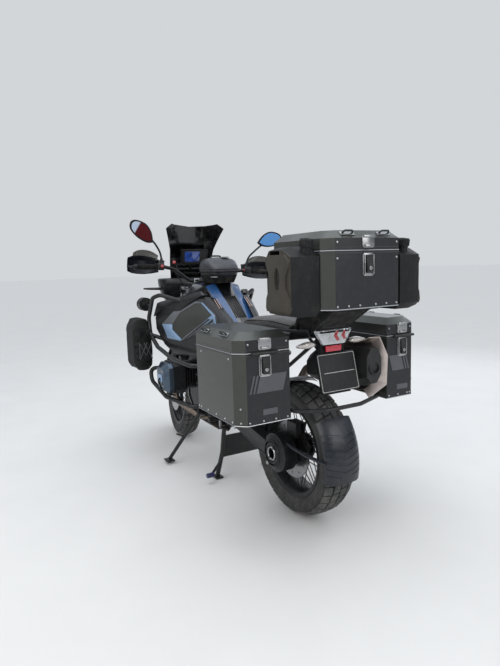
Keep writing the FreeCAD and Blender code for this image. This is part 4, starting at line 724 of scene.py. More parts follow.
def latch(name, place, lid_body, body):
    """A draw latch on a back wall: the keeper on the lid, the lever and its rails below the seam."""
    def near(back, across, up):
        return place + Vector((back, across, up)) * MM

    def on_wall(z, proud):
        return facing(near(-proud, 0, z), *BACK)

    keeper = [sheet_cut(name + "_keeper", rectangle(60, 48, 7), 0.003, on_wall(36, 2), 0.0008),
              box_piece(name + "_hook", near(-11, -20, 14), near(-2, 20, 24), 0.002),
              box_piece(name + "_brow", near(-9, -27, 50), near(-1, 27, 60), 0.003)]
    grouped(name + "_keeper", keeper, "bright_steel", lid_body)
    plate = sheet_cut(name + "_base", rectangle(56, 88, 8), 0.0025, on_wall(-52, 1.5), 0.0006)
    rails = [box_piece(name + "_rail", near(-10, y - 2, -90), near(-2, y + 2, -14), 0.0012)
             for y in (-22, 22)]
    grouped(name + "_rails", [plate, *rails], "bright_steel", body)
    lever = start("cube", name + "_lever", near(-10, 0, -50), Vector((9, 36, 70)) * MM)
    with Editing(lever) as edit:
        edit.pick(lambda c, n: n.z < -0.9).scale(1, 0.72, 1, about=tuple(near(-10, 0, -85)))
        edit.pick(lambda c, n: n.x < -0.9).inset(0.005, -0.0015)
    finished(smooth(eased(lever, 0.002, 2), 40), "matt_black", body)
    knob = turned(name + "_lock", LOCK, 20, near(-12, 0, -66), near(-20, 0, -66))
    finished(knob, "bright_steel", body)


def tie_loop(name, place, along, out, body):
    """A tie-down loop: a bright foot with a black bail standing on it."""
    along, out = Vector(along).normalized(), Vector(out).normalized()
    foot = sheet_cut(name + "_foot", [(-0.034, -0.009), (0.034, -0.009), (0.034, 0.009), (-0.034, 0.009)],
                     0.003, facing(place + out * 0.0012, along, out.cross(along)), 0.0008)
    bail = pipe(name + "_bail", [place + along * -0.024 + out * 0.002, place + along * -0.02 + out * 0.016,
                                 place + along * 0.02 + out * 0.016, place + along * 0.024 + out * 0.002],
                0.0038, 0.012)
    finished(foot, "bright_steel", body)
    finished(bail, "matt_black", body)


def line_round(name, corners, radius, finish, body):
    """A slim rolled edge that runs round a case."""
    loop = drawn(name, [corners], flat=False, bevel_depth=radius, bevel_resolution=1)
    return finished(smooth(tidy(loop)), finish, body)


def plan(x0, x1, y0, y1, z, cuts, grow=0.0):
    """Corners of a case, its upright edges cut: back right, front right, front left, back left."""
    x0, x1, y0, y1 = x0 - grow, x1 + grow, y0 - grow, y1 + grow
    made = []
    for (x, y, dx, dy), cut in zip(((x0, y0, 1, 1), (x1, y0, -1, 1), (x1, y1, -1, -1), (x0, y1, 1, -1)),
                                   cuts):
        if cut:
            pair = [at(x, y + dy * cut, z), at(x + dx * cut, y, z)]
            made += pair if dx * dy > 0 else pair[::-1]
        else:
            made.append(at(x, y, z))
    return made


def case(name, x0, x1, y0, y1, z0, seam, cuts, side):
    """A case and its lid in the case's black, its sides and upward faces in a lighter copy as painted sky
    sheen, with rolled edges, rivets and a latch.
    """
    lid_body = name + "_lid"
    for node in (name, lid_body):
        shell = dressed(node, "case_end", "case_black")
        # Faces turned sideways or up take the painted sheen
        more_finishes(shell, ("case_painted_sheen", lambda c, n: abs(n.y) > 0.45 or n.z > 0.3))
    line_round(name + "_seam_edge", plan(x0, x1, y0, y1, seam + 3, cuts, 0.6), 0.0017, "bright_alloy",
               lid_body)
    # The fold and the body's rolled edge take the same painted sheen
    line_round(name + "_seam_fold", plan(x0, x1, y0, y1, seam + 15, cuts, 0.2), 0.0011, "case_painted_sheen",
               lid_body)
    line_round(name + "_body_edge", plan(x0, x1, y0, y1, seam - 6, cuts, 0.3), 0.0016, "case_painted_sheen", "frame")
    line_round(name + "_foot_edge", plan(x0, x1, y0, y1, z0 + 1.5, cuts, 0.3), 0.0019, "bright_alloy",
               "frame")
    outer = y1 if side >= 0 else y0
    row = [x0 + step for step in (52, 120, 200, 280, 350)]
    if side:
        inner = y0 if side > 0 else y1
        wall_ends = (inner + side * 14, outer - side * 50)
        rear_places = [(y, z0 + 13) for y in (wall_ends[0], inner + side * 70, inner + side * 128,
                                              wall_ends[1])]
        lid_places = [(y, seam + 38) for y in wall_ends]
        low = [(at(x, outer, z0 + 13), (0, side, 0)) for x in (*row, x1 - 46)]
        low += [(at(x, outer, seam - 22), (0, side, 0)) for x in (x0 + 70, x0 + 330)]
        low += [(at(x0 + 20, outer - side * 20, z0 + z), (-1, side, 0)) for z in (13, 70)]
    else:
        rear_places = [(y, z0 + 13) for y in (-150, -96, -40, 40, 96, 150)] + [(y, seam - 26)
                                                                               for y in (-150, 150)]
        lid_places = [(y, seam + 34) for y in (-150, 150)]
        low = [(at(x, s * outer, z0 + 13), (0, s, 0)) for s in (1, -1) for x in row]
    rivets(name + "_rivets", [(at(x0, y, z), (-1, 0, 0)) for y, z in rear_places] + low
           + [(at(x1, y, z), (1, 0, 0)) for y, z in rear_places], "frame")
    rivets(name + "_lid_rivets", [(at(x0, y, z), (-1, 0, 0)) for y, z in lid_places], lid_body)
    latch(name + "_latch", at(x0, (y0 + y1) / 2 - side * 4, seam), lid_body, "frame")


case("left_pannier", -277, 143, 243, 484, 579, 867, (0, 0, 40, 40), 1)
case("right_pannier", -277, 143, -484, -290, 579, 867, (40, 40, 0, 0), -1)
case("top_case", -474, -74, -200, 200, 1030, 1251, (40, 40, 40, 40), 0)
for side, word in SIDES:
    for n, x in enumerate((-150, 30)):
        tie_loop(f"{word}_pannier_tie_{n}", at(x, side * 470, 937), (1, 0, 0), (0, side * 0.7, 0.7),
                 f"{word}_pannier_lid")
for n, y in enumerate((-92, 92)):
    tie_loop(f"top_case_tie_{n}", at(-459, y, 1317), (0, 1, 0), (-0.7, 0, 0.7), "top_case_lid")

def outwards(points, side):
    """Places on a pannier's back in metres, given in millimetres out from its inner wall and up."""
    return in_metres((-side * y, z) for y, z in points)


# Slanted panels on the panniers' backs, with two stripes beside them, and a bare label field
for side, word in SIDES:
    inner, wide = (243, 138) if side > 0 else (290, 88)
    wall = facing(at(-277.6, side * inner, 579), *BACK)
    shapes = [[(14, 200), (wide, 200), (wide + 20, 128), (34, 128)]]
    shapes += [[(wide + y, 200), (wide + y + 8, 200), (wide + y + 28, 128), (wide + y + 20, 128)]
               for y in (8, 24)]
    marks = [sheet_cut(f"{word}_mark_{i}", outwards(shape, side), 0.0008, wall, 0.0002)
             for i, shape in enumerate(shapes)]
    grouped(f"{word}_pannier_marks", marks, "case_decal")
    field = outwards([(62, 60), (130, 60), (130, 36), (62, 36)], side)
    finished(sheet_cut(f"{word}_pannier_field", field, 0.0008, wall, 0.0002), "case_decal")

# Three pressed lines on the outer walls
for side, word in SIDES:
    lines = [box_piece(f"{word}_line_{n}", at(-90, side * 484 - 0.5, z), at(120, side * 484 + 0.5, z + 2),
                       0.0003, 1) for n, z in enumerate((770, 730, 690))]
    grouped(f"{word}_pannier_lines", lines, "case_decal")

# Fuel cans: a relief plate over the moulded shell, screw cap, handle and the oval hole with its bar
CAN_FACE = 0.3235
CAP_STEPS = 28


def every_other(centre, normal):
    """Every second face round the cap's side."""
    step = int(math.atan2(centre.z, centre.x) / math.tau * CAP_STEPS + CAP_STEPS)
    return 0.004 < centre.y < 0.026 and step % 2 == 0


for side, word in SIDES:
    node = f"{word}_fuel_can"
    shell = dressed(node, "can_black", "can_black", 0.0025)
    more_finishes(shell, ("can_khaki", lambda c, n: abs(c.y) > CAN_FACE))
    outward = facing(at(-343, side * 333, 1141), (side * -1, 0, 0), (0, 0, 1))
    foot = sheet_cut(f"{word}_can_foot", in_metres(((-52, -98), (52, -98), (34, -58), (-34, -58))), 0.004,
                     outward @ Matrix.Translation((0, 0, 0.0012)), 0.0015)
    finished(foot, "can_khaki")
    hole = in_metres((19 * math.cos(a), 12 + 43 * math.sin(a)) for a in around(20))
    # A near-black sheet deep in the oval hole: painted shade for its dark inside
    back = sheet_cut(f"{word}_can_hole_painted_shade", hole, 0.001, outward @ Matrix.Translation((0, 0, -0.0145)), 0.0002)
    finished(back, "lamp_shell")
    bar = pipe(f"{word}_can_bar", [outward @ Vector((0, y * MM, -0.007)) for y in (-26, 12, 50)], 0.0055,
               0.01)
    finished(bar, "grained_plastic")
    rib = [(0.021, 0), (0.0245, 0.002), (0.0245, 0.028), (0.022, 0.032), (0.012, 0.033), (0.011, 0.0305),
           (0, 0.0305)]
    cap = spun(f"{word}_can_cap", rib, (0, 0, 0), CAP_STEPS)
    with Editing(cap) as edit:
        edit.pick(every_other)
        bpy.ops.mesh.inset(thickness=0.0006, depth=0.0012, use_individual=True)
    aimed(cap, at(-438 + 26, side * 248, 1270), at(-438 + 21, side * 248, 1302))
    finished(smooth(cap, 30), "grained_plastic")
    grip = pipe(f"{word}_can_grip", [at(-352, side * 267, 1244), at(-346, side * 267, 1262),
                                     at(-290, side * 267, 1262), at(-284, side * 267, 1244)], 0.009, 0.02)
    finished(grip, "can_black")

# Tyres: a carcass with a smooth sidewall, and tread blocks set round it


def eased_line(points, steps=4):
    """A smooth line through the points."""
    made = []
    ends = [points[0], *points, points[-1]]
    for a, b, c, d in zip(ends, ends[1:], ends[2:], ends[3:]):
        for i in range(steps):
            t = i / steps
            made.append(tuple(0.5 * (2 * q + (r - p) * t + (2 * p - 5 * q + 4 * r - s) * t * t
                                     + (3 * q - p - 3 * r + s) * t ** 3) for p, q, r, s in zip(a, b, c, d)))
    return made + [tuple(points[-1])]


TYRE_HALF = ((0.64, 0.0), (0.80, 0.17), (0.84, 0.24), (0.99, 0.52), (0.94, 0.72))
BLOCK_TALL = 7


def tyre_profile(radius, width, bead):
    """Half section from bead to crown as (radius, across), the crown lowered by the blocks' height."""
    side = [(bead + (radius - bead) * up, width / 2 * out) for out, up in TYRE_HALF]
    crown = [(radius - BLOCK_TALL - (radius - bead) * (1 - up), width / 2 * out)
             for out, up in ((0.72, 0.89), (0.36, 0.98), (0.0, 1.0))]
    return eased_line(side + crown)


def tyre(node, radius, width, bead, centre, body, pitches, blocks, steered=False):
    half = tyre_profile(radius, width, bead)
    loop = [(r * MM, y * MM) for r, y in half + [(r, -y) for r, y in reversed(half[:-1])]]
    carcass = spun(node + "_carcass", loop + [((bead - 2) * MM, -width * 0.3 * MM),
                                              ((bead - 2) * MM, width * 0.3 * MM)], centre, 96, closed=True)
    finished(carcass, "tyre_rubber", body, [node], steered)
    pitch = math.tau / pitches
    thick = BLOCK_TALL + 1.5
    ring = []
    for side in (1, -1):
        for start_along, outline in blocks:
            across = sum(p[1] for p in outline) / len(outline)
            share = min(abs(across) / (width / 2), 0.99)
            shoulder = 0.02 + (share - 0.36) * 0.25 if share > 0.36 else 0
            drop = (radius - bead) * max(0.02 * share / 0.36, shoulder)
            lean = math.radians(4 + 46 * max(share - 0.2, 0))
            seat = radius - BLOCK_TALL - drop - 1.5
            shape = [((a + start_along) * MM, (b - across) / math.cos(lean) * MM * side)
                     for a, b in outline]
            if side < 0:
                shape.reverse()
            spread = Vector((0, math.cos(lean) * side, 0)) - Vector((math.sin(lean), 0, 0))
            out = Vector((math.cos(lean), math.sin(lean) * side, 0))
            place = Matrix((Vector((0, 0, 1)), (spread if side > 0 else -spread),
                            out)).transposed().to_4x4()
            place.translation = Vector((seat * MM, across * side * MM, 0)) + out * thick / 2 * MM
            block = sheet_cut(node + "_block", [(x, y * side) for x, y in shape], thick * MM, place, 0.0009)
            block.data.transform(Matrix.Rotation(pitch * (0 if side > 0 else 0.5), 4, "Y"))
            ring.append(block)
    one = joined(node + "_pitch", ring)
    turns = [one] + [copied(one, Matrix.Rotation(pitch * i, 4, "Y")) for i in range(1, pitches)]
    tread = joined(node + "_tread", turns)
    tread.data.transform(Matrix.Translation(Vector(centre)))
    finished(smooth(tidy(tread), 30), "tyre_tread", body, steered=steered)


rear_blocks = ((0, [(-24, 3), (18, 3), (27, 34), (-15, 34)]),
               (6, [(-18, 40), (24, 40), (30, 72), (-12, 72)]))
front_blocks = ((0, [(-20, 2.5), (16, 2.5), (23, 24), (-13, 24)]),
                (5, [(-15, 28), (20, 28), (25, 50), (-10, 50)]))
tyre("rear_tyre", 318, 170, 216, at(0, 0, REAR_Z), "rear_wheel", 38, rear_blocks)
tyre("front_tyre", 325, 120, 241, at(WHEELBASE, 0, FRONT_Z), "front_wheel", 44, front_blocks, True)

# Rear flap: a curved shell with chevron grooves pressed into its face
FLAP = ((-30, 94), (-24, 93), (-10, 80), (0, 60), (4, 30), (5, 0))
FLAP_RADIUS = 337
FLAP_HALF = 94
FLAP_START, FLAP_SPAN = 142, 50


def flap_loop(angle, ahead):
    path = [(drop, y) for drop, y in FLAP] + [(drop, -y) for drop, y in reversed(FLAP[:-1])]
    loop = []
    for thick, row in ((0, path), (-4, list(reversed(path)))):
        for drop, y in row:
            a = math.radians(angle + ahead * (1 - abs(y) / FLAP_HALF))
            r = FLAP_RADIUS + drop + thick
            loop.append(at(r * math.cos(a), y, REAR_Z + r * math.sin(a)))
    return loop


def chevron(share):
    """How far the flap's middle runs past its edges, in degrees; it fades out at both ends."""
    return 4.5 * math.sin(math.pi * max(min(share * 4, 1, (1 - share) * 4), 0) / 2)


FLAP_ROWS = 30
sections = [flap_loop(FLAP_START + FLAP_SPAN * i / FLAP_ROWS, chevron(i / FLAP_ROWS))
            for i in range(FLAP_ROWS + 1)]
flap = lofted("rear_flap", sections)


def in_groove(centre, normal):
    """Every third row on the flap's face, as counted along the chevrons."""
    ahead, up = centre.x - REAR_AXLE_X * MM, centre.z - REAR_Z * MM
    inside = math.hypot(ahead, up) < (FLAP_RADIUS - 21) * MM or normal.dot(Vector((ahead, 0, up))) < 0
    if inside or abs(centre.y) < 0.006:
        return False
    angle = math.degrees(math.atan2(up, ahead)) % 360
    lift = chevron((angle - FLAP_START) / FLAP_SPAN) * (1 - abs(centre.y) / (FLAP_HALF * MM))
    row = int((angle - lift - FLAP_START) / FLAP_SPAN * FLAP_ROWS)
    return 3 < row < FLAP_ROWS - 3 and row % 3 == 0


with Editing(flap) as edit:
    edit.pick(in_groove).inset(0.0012, -0.0022)
finished(smooth(flap, 30), "wing_blue_black", "frame")

# Tail: faceted lamp, reflector, signals, blank plate with its border
LENS_SHAPE = ((-93, 32), (93, 32), (96, 24), (62, -29), (56, -33), (-56, -33), (-62, -29), (-96, 24))
lens = sheet_cut("tail_lens", in_metres(LENS_SHAPE), 0.022, facing(at(-253, 0, 895), *BACK), 0.005)
with Editing(lens) as edit:
    edit.pick(lambda c, n: n.x < -0.95).inset(0.008, 0.003)
finished(smooth(lens, 20), "tail_mirror", "frame", ["rear_lamps"])
shapes = [[(4, 24), (20, 26), (12, 6), (26, -16), (10, -18), (-6, 4)],
          [(46, 24), (60, 24), (52, 4), (60, -12), (48, -14), (36, 4)]]
reds = [sheet_cut(f"tail_red_{i}", in_metres(shape), 0.0016, facing(at(-267.6, 0, 895), *BACK), 0.0005)
        for i, shape in enumerate(shapes)]
grouped("tail_reds", reds, "red_lens")
reflector = sheet_cut("tail_reflector", in_metres(((-44, 12), (42, 12), (39, -13), (-41, -13))), 0.008,
                      facing(at(-256, 0, 845), *BACK), 0.0015)
finished(reflector, "red_reflector")
for side, word in SIDES:
    leaf = [(-2, 0), (6, 10), (26, 17), (54, 15), (84, 7), (104, -2), (84, -9), (54, -14), (26, -13),
            (6, -8)]
    shell = sheet_cut(f"{word}_signal", in_metres(leaf), 0.028,
                      facing(at(-247, side * 92, 868), (0, side, 0), (0, 0, 1)), 0.01)
    finished(rounded(shell), "signal_lens", "frame")
    stalk = pipe(f"{word}_signal_stalk", [at(-232, side * 66, 868), at(-242, side * 100, 868)], 0.007)
    finished(stalk, "guard_plastic")

PLATE_WIDE, PLATE_TALL = 205, 168
plate_place = facing(at(-273, -12, 742), (0, -1, 0), (41, 0, 164))
plate = sheet_cut("number_plate", rectangle(PLATE_WIDE, PLATE_TALL, 5), 0.002, plate_place, 0.0004)
finished(plate, "plate_face", "frame")
trim = [sheet_cut("plate_border", rectangle(PLATE_WIDE - 8, PLATE_TALL - 8, 4), 0.0008,
                  plate_place @ Matrix.Translation((0, 0, 0.0012)), 0.0002,
                  [rectangle(PLATE_WIDE - 12, PLATE_TALL - 12, 4)]),
        sheet_cut("plate_line", rectangle(PLATE_WIDE - 40, 2.4), 0.0008,
                  plate_place @ Matrix.Translation((0.006, 0, 0.0012)), 0.0002)]
grouped("plate_trim", trim, "plate_border")

# Silencer's end: cap with its outlet, and three long ribs
cap = spun("silencer_cap", [(0.028, -0.004), (0.031, 0), (0.031, 0.003), (0.026, 0.006), (0.022, 0.006),
                            (0.022, -0.03), (0.001, -0.03)], (0, 0, 0), 40)
finished(aimed(cap, at(-300, -192, 740), at(-306, -192, 741)), "alloy_black")
ribs = [pipe(f"silencer_rib_{n}", [at(120, y, z), at(-240, y, z + 44), at(-292, y + 6, z + 50)], 0.005,
             0.03) for n, (y, z) in enumerate(((-236, 742), (-242, 700), (-236, 664)))]
grouped("silencer_ribs", ribs, "guard_plastic")

# Side panels: the silver-bordered field, its dark middle and stripes, in the panel's own plane; two border
# facets carry a painted sky reflection
PANEL_BASE, PANEL_AHEAD, PANEL_UP = 179.8, 0.36, -0.2882


def panel_point(x, z):
    return at(x, PANEL_BASE + PANEL_AHEAD * x + PANEL_UP * z, z)


panel_frame = facing(panel_point(820, 890), panel_point(700, 890) - panel_point(820, 890), (0, PANEL_UP, 1))


def on_panel(name, points, proud, thick=1.2):
    """A flat trim cut to points (ahead, up) on the left panel, mirrored to the right one."""
    back = panel_frame.inverted()
    flat = [(back @ panel_point(x, z)).xy[:] for x, z in points]
    trim = sheet_cut(name, flat, thick * MM, panel_frame @ Matrix.Translation((0, 0, proud * MM)), 0.0003)
    return both_sides(name, trim)


FIELD = [(1030, 868), (957, 946), (899, 950), (795, 1010), (739, 1006), (626, 937), (596, 882), (641, 866),
         (840, 779), (954, 788)]
DARK = [(942, 870), (902, 936), (792, 996), (744, 999), (646, 936), (704, 890), (841, 790), (931, 840)]
sign = 1 if (panel_frame.to_3x3() @ Vector((0, 0, 1))).y > 0 else -1
# front_low and rear take the painted sky reflection, the others the plain silver
FACETS = (("front_low", "silver_painted_sky_sheen", (0, 9, 8), (6, 7, 0)),
          ("front_high", "facet_grey", (2, 1, 0), (0, 1)), ("top", "facet_grey", (4, 3, 2), (1, 2, 3)),
          ("rear", "silver_painted_sky_sheen", (7, 6, 5, 4), (3, 4, 5)), ("low", "facet_grey", (8, 7), (5, 6)))
for word, finish, outer, inner in FACETS:
    outline = [FIELD[i] for i in outer] + [DARK[i] for i in inner]
    finished(on_panel(f"panel_{word}", outline, 5.2 * sign), finish, "frame")
finished(on_panel("panel_middle", [(940, 868), (901, 933), (792, 993), (745, 996), (650, 934), (706, 890),
                                   (841, 793), (929, 841)], 5.0 * sign, 1.0), "panel_grey")
STRIPES = ([(828, 785), (803, 796), (648, 912), (668, 915)],
           [(785, 804), (762, 814), (622, 900), (630, 918)],
           [(745, 822), (725, 830), (612, 884), (614, 898)])
stripes = [on_panel("panel_stripe", points, 5.8 * sign, 0.8) for points in STRIPES]
grouped("panel_stripes", stripes, "panel_black")


def squared(middle, half, along, corner):
    """A place on a rounded rectangle's side: along is the angle's cosine or sine."""
    return middle + half * math.copysign(abs(along) ** corner, along)


# Soft goods: pads and bags blown up by cloth pressure from slightly smaller forms


def stuffed(piece, finish, cap, node, voxel=0.006, shrink=0.004):
    """Fills a closed form like a cushion; no point moves further than cap."""
    only(piece)
    bpy.ops.object.mode_set(mode="EDIT")
    bpy.ops.mesh.select_all(action="SELECT")
    bpy.ops.transform.shrink_fatten(value=-shrink)
    bpy.ops.object.mode_set(mode="OBJECT")
    piece.data.remesh_voxel_size = voxel
    bpy.ops.object.voxel_remesh()
    modify(piece, "SMOOTH", factor=0.6, iterations=6)
    rest = [vert.co.copy() for vert in piece.data.vertices]
    cloth = piece.modifiers.new("Cloth", "CLOTH")
    cloth.settings.use_pressure = True
    cloth.settings.uniform_pressure_force = 4
    cloth.settings.effector_weights.gravity = 0
    for number in range(1, 21):
        bpy.context.scene.frame_set(number)
    only(piece)
    bpy.ops.object.modifier_apply(modifier=cloth.name)
    bpy.context.scene.frame_set(1)
    for vert, before in zip(piece.data.vertices, rest):
        moved = vert.co - before
        if moved.length > cap:
            vert.co = before + moved * (cap / moved.length)
    modify(piece, "SMOOTH", factor=0.5, iterations=3)
    rounded(piece)
    smooth(piece, 60)
    finished(piece, finish, frame["nodes"][node]["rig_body"], [node])
    return piece


def seam(name, points, radius=0.0022):
    """A sewn edge or piping through points in millimetres."""
    return finished(pipe(name, [at(*p) for p in points], radius, 0.03, 2), "rubber_black")


def band(name, loop, tall):
    """A webbing strap round a bag: a loop at one height, as tall as the strap is wide."""
    level = loop[0][2]
    ring = drawn(name, [[p.xy for p in loop]], extrude=tall / 2, bevel_depth=0.0012, bevel_resolution=1,
                 fill_mode="NONE")
    ring.data.transform(Matrix.Translation((0, 0, level)))
    return finished(smooth(tidy(ring), 40), "strap_cloth")


for word in ("rider", "passenger"):
    node = word + "_seat"
    stuffed(welded(node, node + "_pad"), "seat_cover", 0.006, node)
for side, word in SIDES:
    seam(f"{word}_seat_piping", [(338, side * 128, 891), (270, side * 134, 938), (60, side * 117, 947),
                                 (-76, side * 104, 935)])
    seam(f"{word}_rider_piping", [(598, side * 52, 902), (520, side * 88, 889), (440, side * 131, 880),
                                  (358, side * 147, 888)])
seam("seat_cross_seam", [(300, -118, 926), (296, 0, 932), (300, 118, 926)], 0.0018)

# Grab rails beside the passenger's seat
RAIL = ((-120, 128, 900), (60, 158, 905), (190, 166, 912), (262, 150, 916))
rail = pipe("grab_rail", [at(*p) for p in RAIL], 0.011, 0.08)
finished(both_sides("grab_rails", rail), "matt_black")

# Tank bag: a crowned shell on a narrower foot, with a zip, a rim, a label field and a handle
BAG_ROWS = ((722, 1160, 1196, 72), (740, 1150, 1222, 88), (785, 1144, 1256, 101), (835, 1142, 1265, 103),
            (885, 1144, 1262, 101), (918, 1150, 1244, 92), (932, 1160, 1222, 78))


def bag_loop(x, low, high, half):
    middle, tall = (low + high) / 2, (high - low) / 2
    return [at(x, squared(0, half, math.cos(a), 0.55), squared(middle, tall, math.sin(a), 0.6))
            for a in around(24)]


bag = lofted("tank_bag_pad", [bag_loop(*row) for row in BAG_ROWS])
stuffed(bag, "bag_top", 0.005, "tank_bag", voxel=0.005, shrink=0.002)


def bag_ring(z):
    """Closed outline of the tank bag at a height."""
    half = [(712, 64), (726, 88), (790, 104), (880, 104), (924, 92), (942, 66)]
    path = [at(x, y, z) for x, y in half] + [at(x, -y, z) for x, y in reversed(half)]
    ring = rounded_path([*path, path[0]], 0.02, 3)[:-1]
    return ring + ring[:1]


finished(pipe("tank_bag_rim", bag_ring(1176), 0.0042, 0.004, 2), "rubber_black")
finished(pipe("tank_bag_zip", bag_ring(1192), 0.0022, 0.004, 2), "grained_plastic")
foot = start("cube", "tank_bag_foot", at(835, 0, 1135), (0.15, 0.13, 0.05))
with Editing(foot) as edit:
    edit.pick(lambda c, n: n.z > 0.9).scale(1.14, 1.3, 1, about=tuple(at(835, 0, 1160)))
finished(smooth(eased(foot, 0.006, 3), 40), "rubber_black")
strip = box_piece("tank_bag_strip", at(742, 52, 1146), at(748, 96, 1151), 0.0012)
finished(strip, "bright_alloy")
label = sheet_cut("tank_bag_label", rectangle(52, 34, 5), 0.001,
                  facing(at(802, -30, 1263), (0, -1, 0), (1, 0, 0.18)), 0.0003)
finished(label, "net_grey")
HANDLE = ((868, -34, 1262), (872, -28, 1272), (872, 28, 1272), (868, 34, 1262))
finished(pipe("tank_bag_handle", [at(*p) for p in HANDLE], 0.0048, 0.02), "strap_cloth")

# Bags on the crash bars: stuffed cloth, webbing in rows, buckles, holding straps, and a pouch with its net
BAG_AHEAD, BAG_OUT = 1222, 396
BAG_LONG, BAG_DEEP = 118 * 0.92 - 1.5, 54.5
POUCH_ROWS = ((640, 0.6), (650, 0.95), (690, 1.0), (735, 0.95), (746, 0.6))
for side, word in SIDES:
    node = f"{word}_bar_bag"
    pad = welded(node, f"{word}_bag_pad")
    stuffed(pad, "bag_cloth", 0.009, node, shrink=0.006)
    middle = side * BAG_OUT

    def ring_at(z):
        return [at(squared(BAG_AHEAD, BAG_LONG, math.cos(a), 0.45),
                   squared(middle, BAG_DEEP, math.sin(a), 0.5), z) for a in around(28)]

    def pouch_loop(z, share):
        return [at(1104 - 16 * share * math.cos(a), middle + 38 * share * math.sin(a), z)
                for a in around(16)]

    for n, z in enumerate((628, 668, 708, 748, 812)):
        band(f"{word}_bag_band_{n}", ring_at(z), 0.024 if n < 4 else 0.03)
    tabs = [box_piece(f"{word}_tab", at(BAG_AHEAD + x - 12, middle + side * 53, 626),
                      at(BAG_AHEAD + x + 12, middle + side * 57, 750), 0.0012) for x in (-66, -22, 22, 66)]
    grouped(f"{word}_bag_tabs", tabs, "strap_cloth")
    buckles = [box_piece(f"{word}_buckle", at(1098, middle + y - 14, 795), at(1109, middle + y + 14, 835),
                         0.003) for y in (-26, 26)]
    grouped(f"{word}_bag_buckles", buckles, "guard_plastic")
    hold = [pipe(f"{word}_bag_strap_{n}", [at(x, side * 346, z), at(x - 14, side * 356, z + 26),
                                           at(x + 16, side * 372, z + 30)], 0.005, 0.01)
            for n, (x, z) in enumerate(((1150, 812), (1140, 640)))]
    grouped(f"{word}_bag_holds", hold, "strap_cloth")
    pouch = lofted(f"{word}_bag_pouch", [pouch_loop(*row) for row in POUCH_ROWS])
    finished(pouch, "bag_cloth")
    net = [pipe(f"{word}_net_{n}", [at(1092, middle + a, 756), at(1087, middle + (a + b) / 2, 706),
                                    at(1092, middle + b, 652)], 0.0016, 0.03, 1)
           for n, (a, b) in enumerate(((-40, 10), (-10, 40), (40, -10), (10, -40), (-40, -40), (40, 40)))]
    grouped(f"{word}_bag_net", net, "net_grey")

# Front: screen, display, inner fairing and the small wings beside it
SCREEN_FOOT, SCREEN_TIP = Vector((1352, 0, 1062)), Vector((1183, 0, 1505))
SCREEN_RUN = SCREEN_TIP - SCREEN_FOOT
SCREEN_OUT = Vector((SCREEN_RUN.z, 0, -SCREEN_RUN.x)).normalized()
SCREEN_ROWS = ((0.0, 112), (0.2, 130), (0.42, 147), (0.62, 156), (0.8, 182), (0.93, 203), (0.985, 161))


def screen_point(share, y, back):
    """A place by the screen: up its run, out to a side, and back from its flat face."""
    return at(*(SCREEN_FOOT + SCREEN_RUN * share + Vector((0, y, 0)) - SCREEN_OUT * back))


def screen_bow(y):
    """How far the screen's face is bowed back beside its middle."""
    return 46 * (y / 200) ** 2


def screen_loop(share, half):
    """One level of the screen, bowed back at its sides and dipped in the middle of its top edge."""
    front, back = [], []
    for i in range(13):
        t = i / 6 - 1
        dip = (1 - t * t) * 0.06 * max(share - 0.6, 0) / 0.385
        front.append(screen_point(share - dip, half * t, screen_bow(half * t)))
        back.append(screen_point(share - dip, half * t, screen_bow(half * t) + 4))
    return front + back[::-1]


screen = lofted("screen", [screen_loop(*row) for row in SCREEN_ROWS])
finished(smooth(screen, 60), "screen_smoke", "frame", ["windscreen"])
SCREEN_KNOB = [(0.0, 0.006), (0.006, 0.006), (0.009, 0.004), (0.01, 0.0)]
knobs = []
for side in (1, -1):
    for share in (0.12, 0.3):
        place = screen_point(share, side * 74, 6.5)
        knobs.append(turned("screen_knob", SCREEN_KNOB, 16, place, place - SCREEN_OUT))
grouped("screen_knobs", knobs, "matt_black")

display_place = facing(at(1182.4, 18, 1278), (0, -1, 0), (-24, 0, 94))
lit = sheet_cut("display_lit", rectangle(104, 66, 6), 0.001, display_place, 0.0003)
finished(lit, "display_lit")
bezel = sheet_cut("display_bezel", rectangle(176, 92, 14), 0.004,
                  facing(at(1184.6, 0, 1276), (0, -1, 0), (-24, 0, 94)), 0.001, [rectangle(166, 82, 12)])
finished(bezel, "guard_plastic")


def soft_rectangle(x0, x1, half, z, corner=0.35):
    """A level outline between two places ahead, rounded at its corners."""
    middle, long = (x0 + x1) / 2, (x1 - x0) / 2
    return [at(squared(middle, long, math.cos(a), corner), squared(0, half, math.sin(a), corner), z)
            for a in around(28)]


FAIRING_ROWS = ((925, 1298, 1322, 96), (985, 1270, 1330, 166), (1042, 1250, 1338, 199),
                (1100, 1250, 1334, 215), (1136, 1256, 1320, 221), (1142, 1264, 1312, 210))
fairing = lofted("inner_fairing", [soft_rectangle(x0, x1, half, z) for z, x0, x1, half in FAIRING_ROWS])
finished(smooth(fairing, 50), "panel_black", "frame")
WING = [(0, -16), (20, -24), (96, -18), (128, -4), (124, 6), (84, 14), (20, 18), (0, 14)]
wing_place = facing(at(1262, 208, 1076), (0, 1, 0.04), (1, 0, 0.25))
wing = sheet_cut("side_wing", in_metres(WING), 0.008, wing_place, 0.003)
finished(both_sides("side_wings", wing), "guard_plastic")
for share, reach in ((0.035, 118), (0.12, 124)):
    lip = pipe("screen_lip", [screen_point(share, y, screen_bow(y) + 6)
                              for y in (-reach, -60, 0, 60, reach)], 0.004, 0.03)
    finished(lip, "guard_plastic")

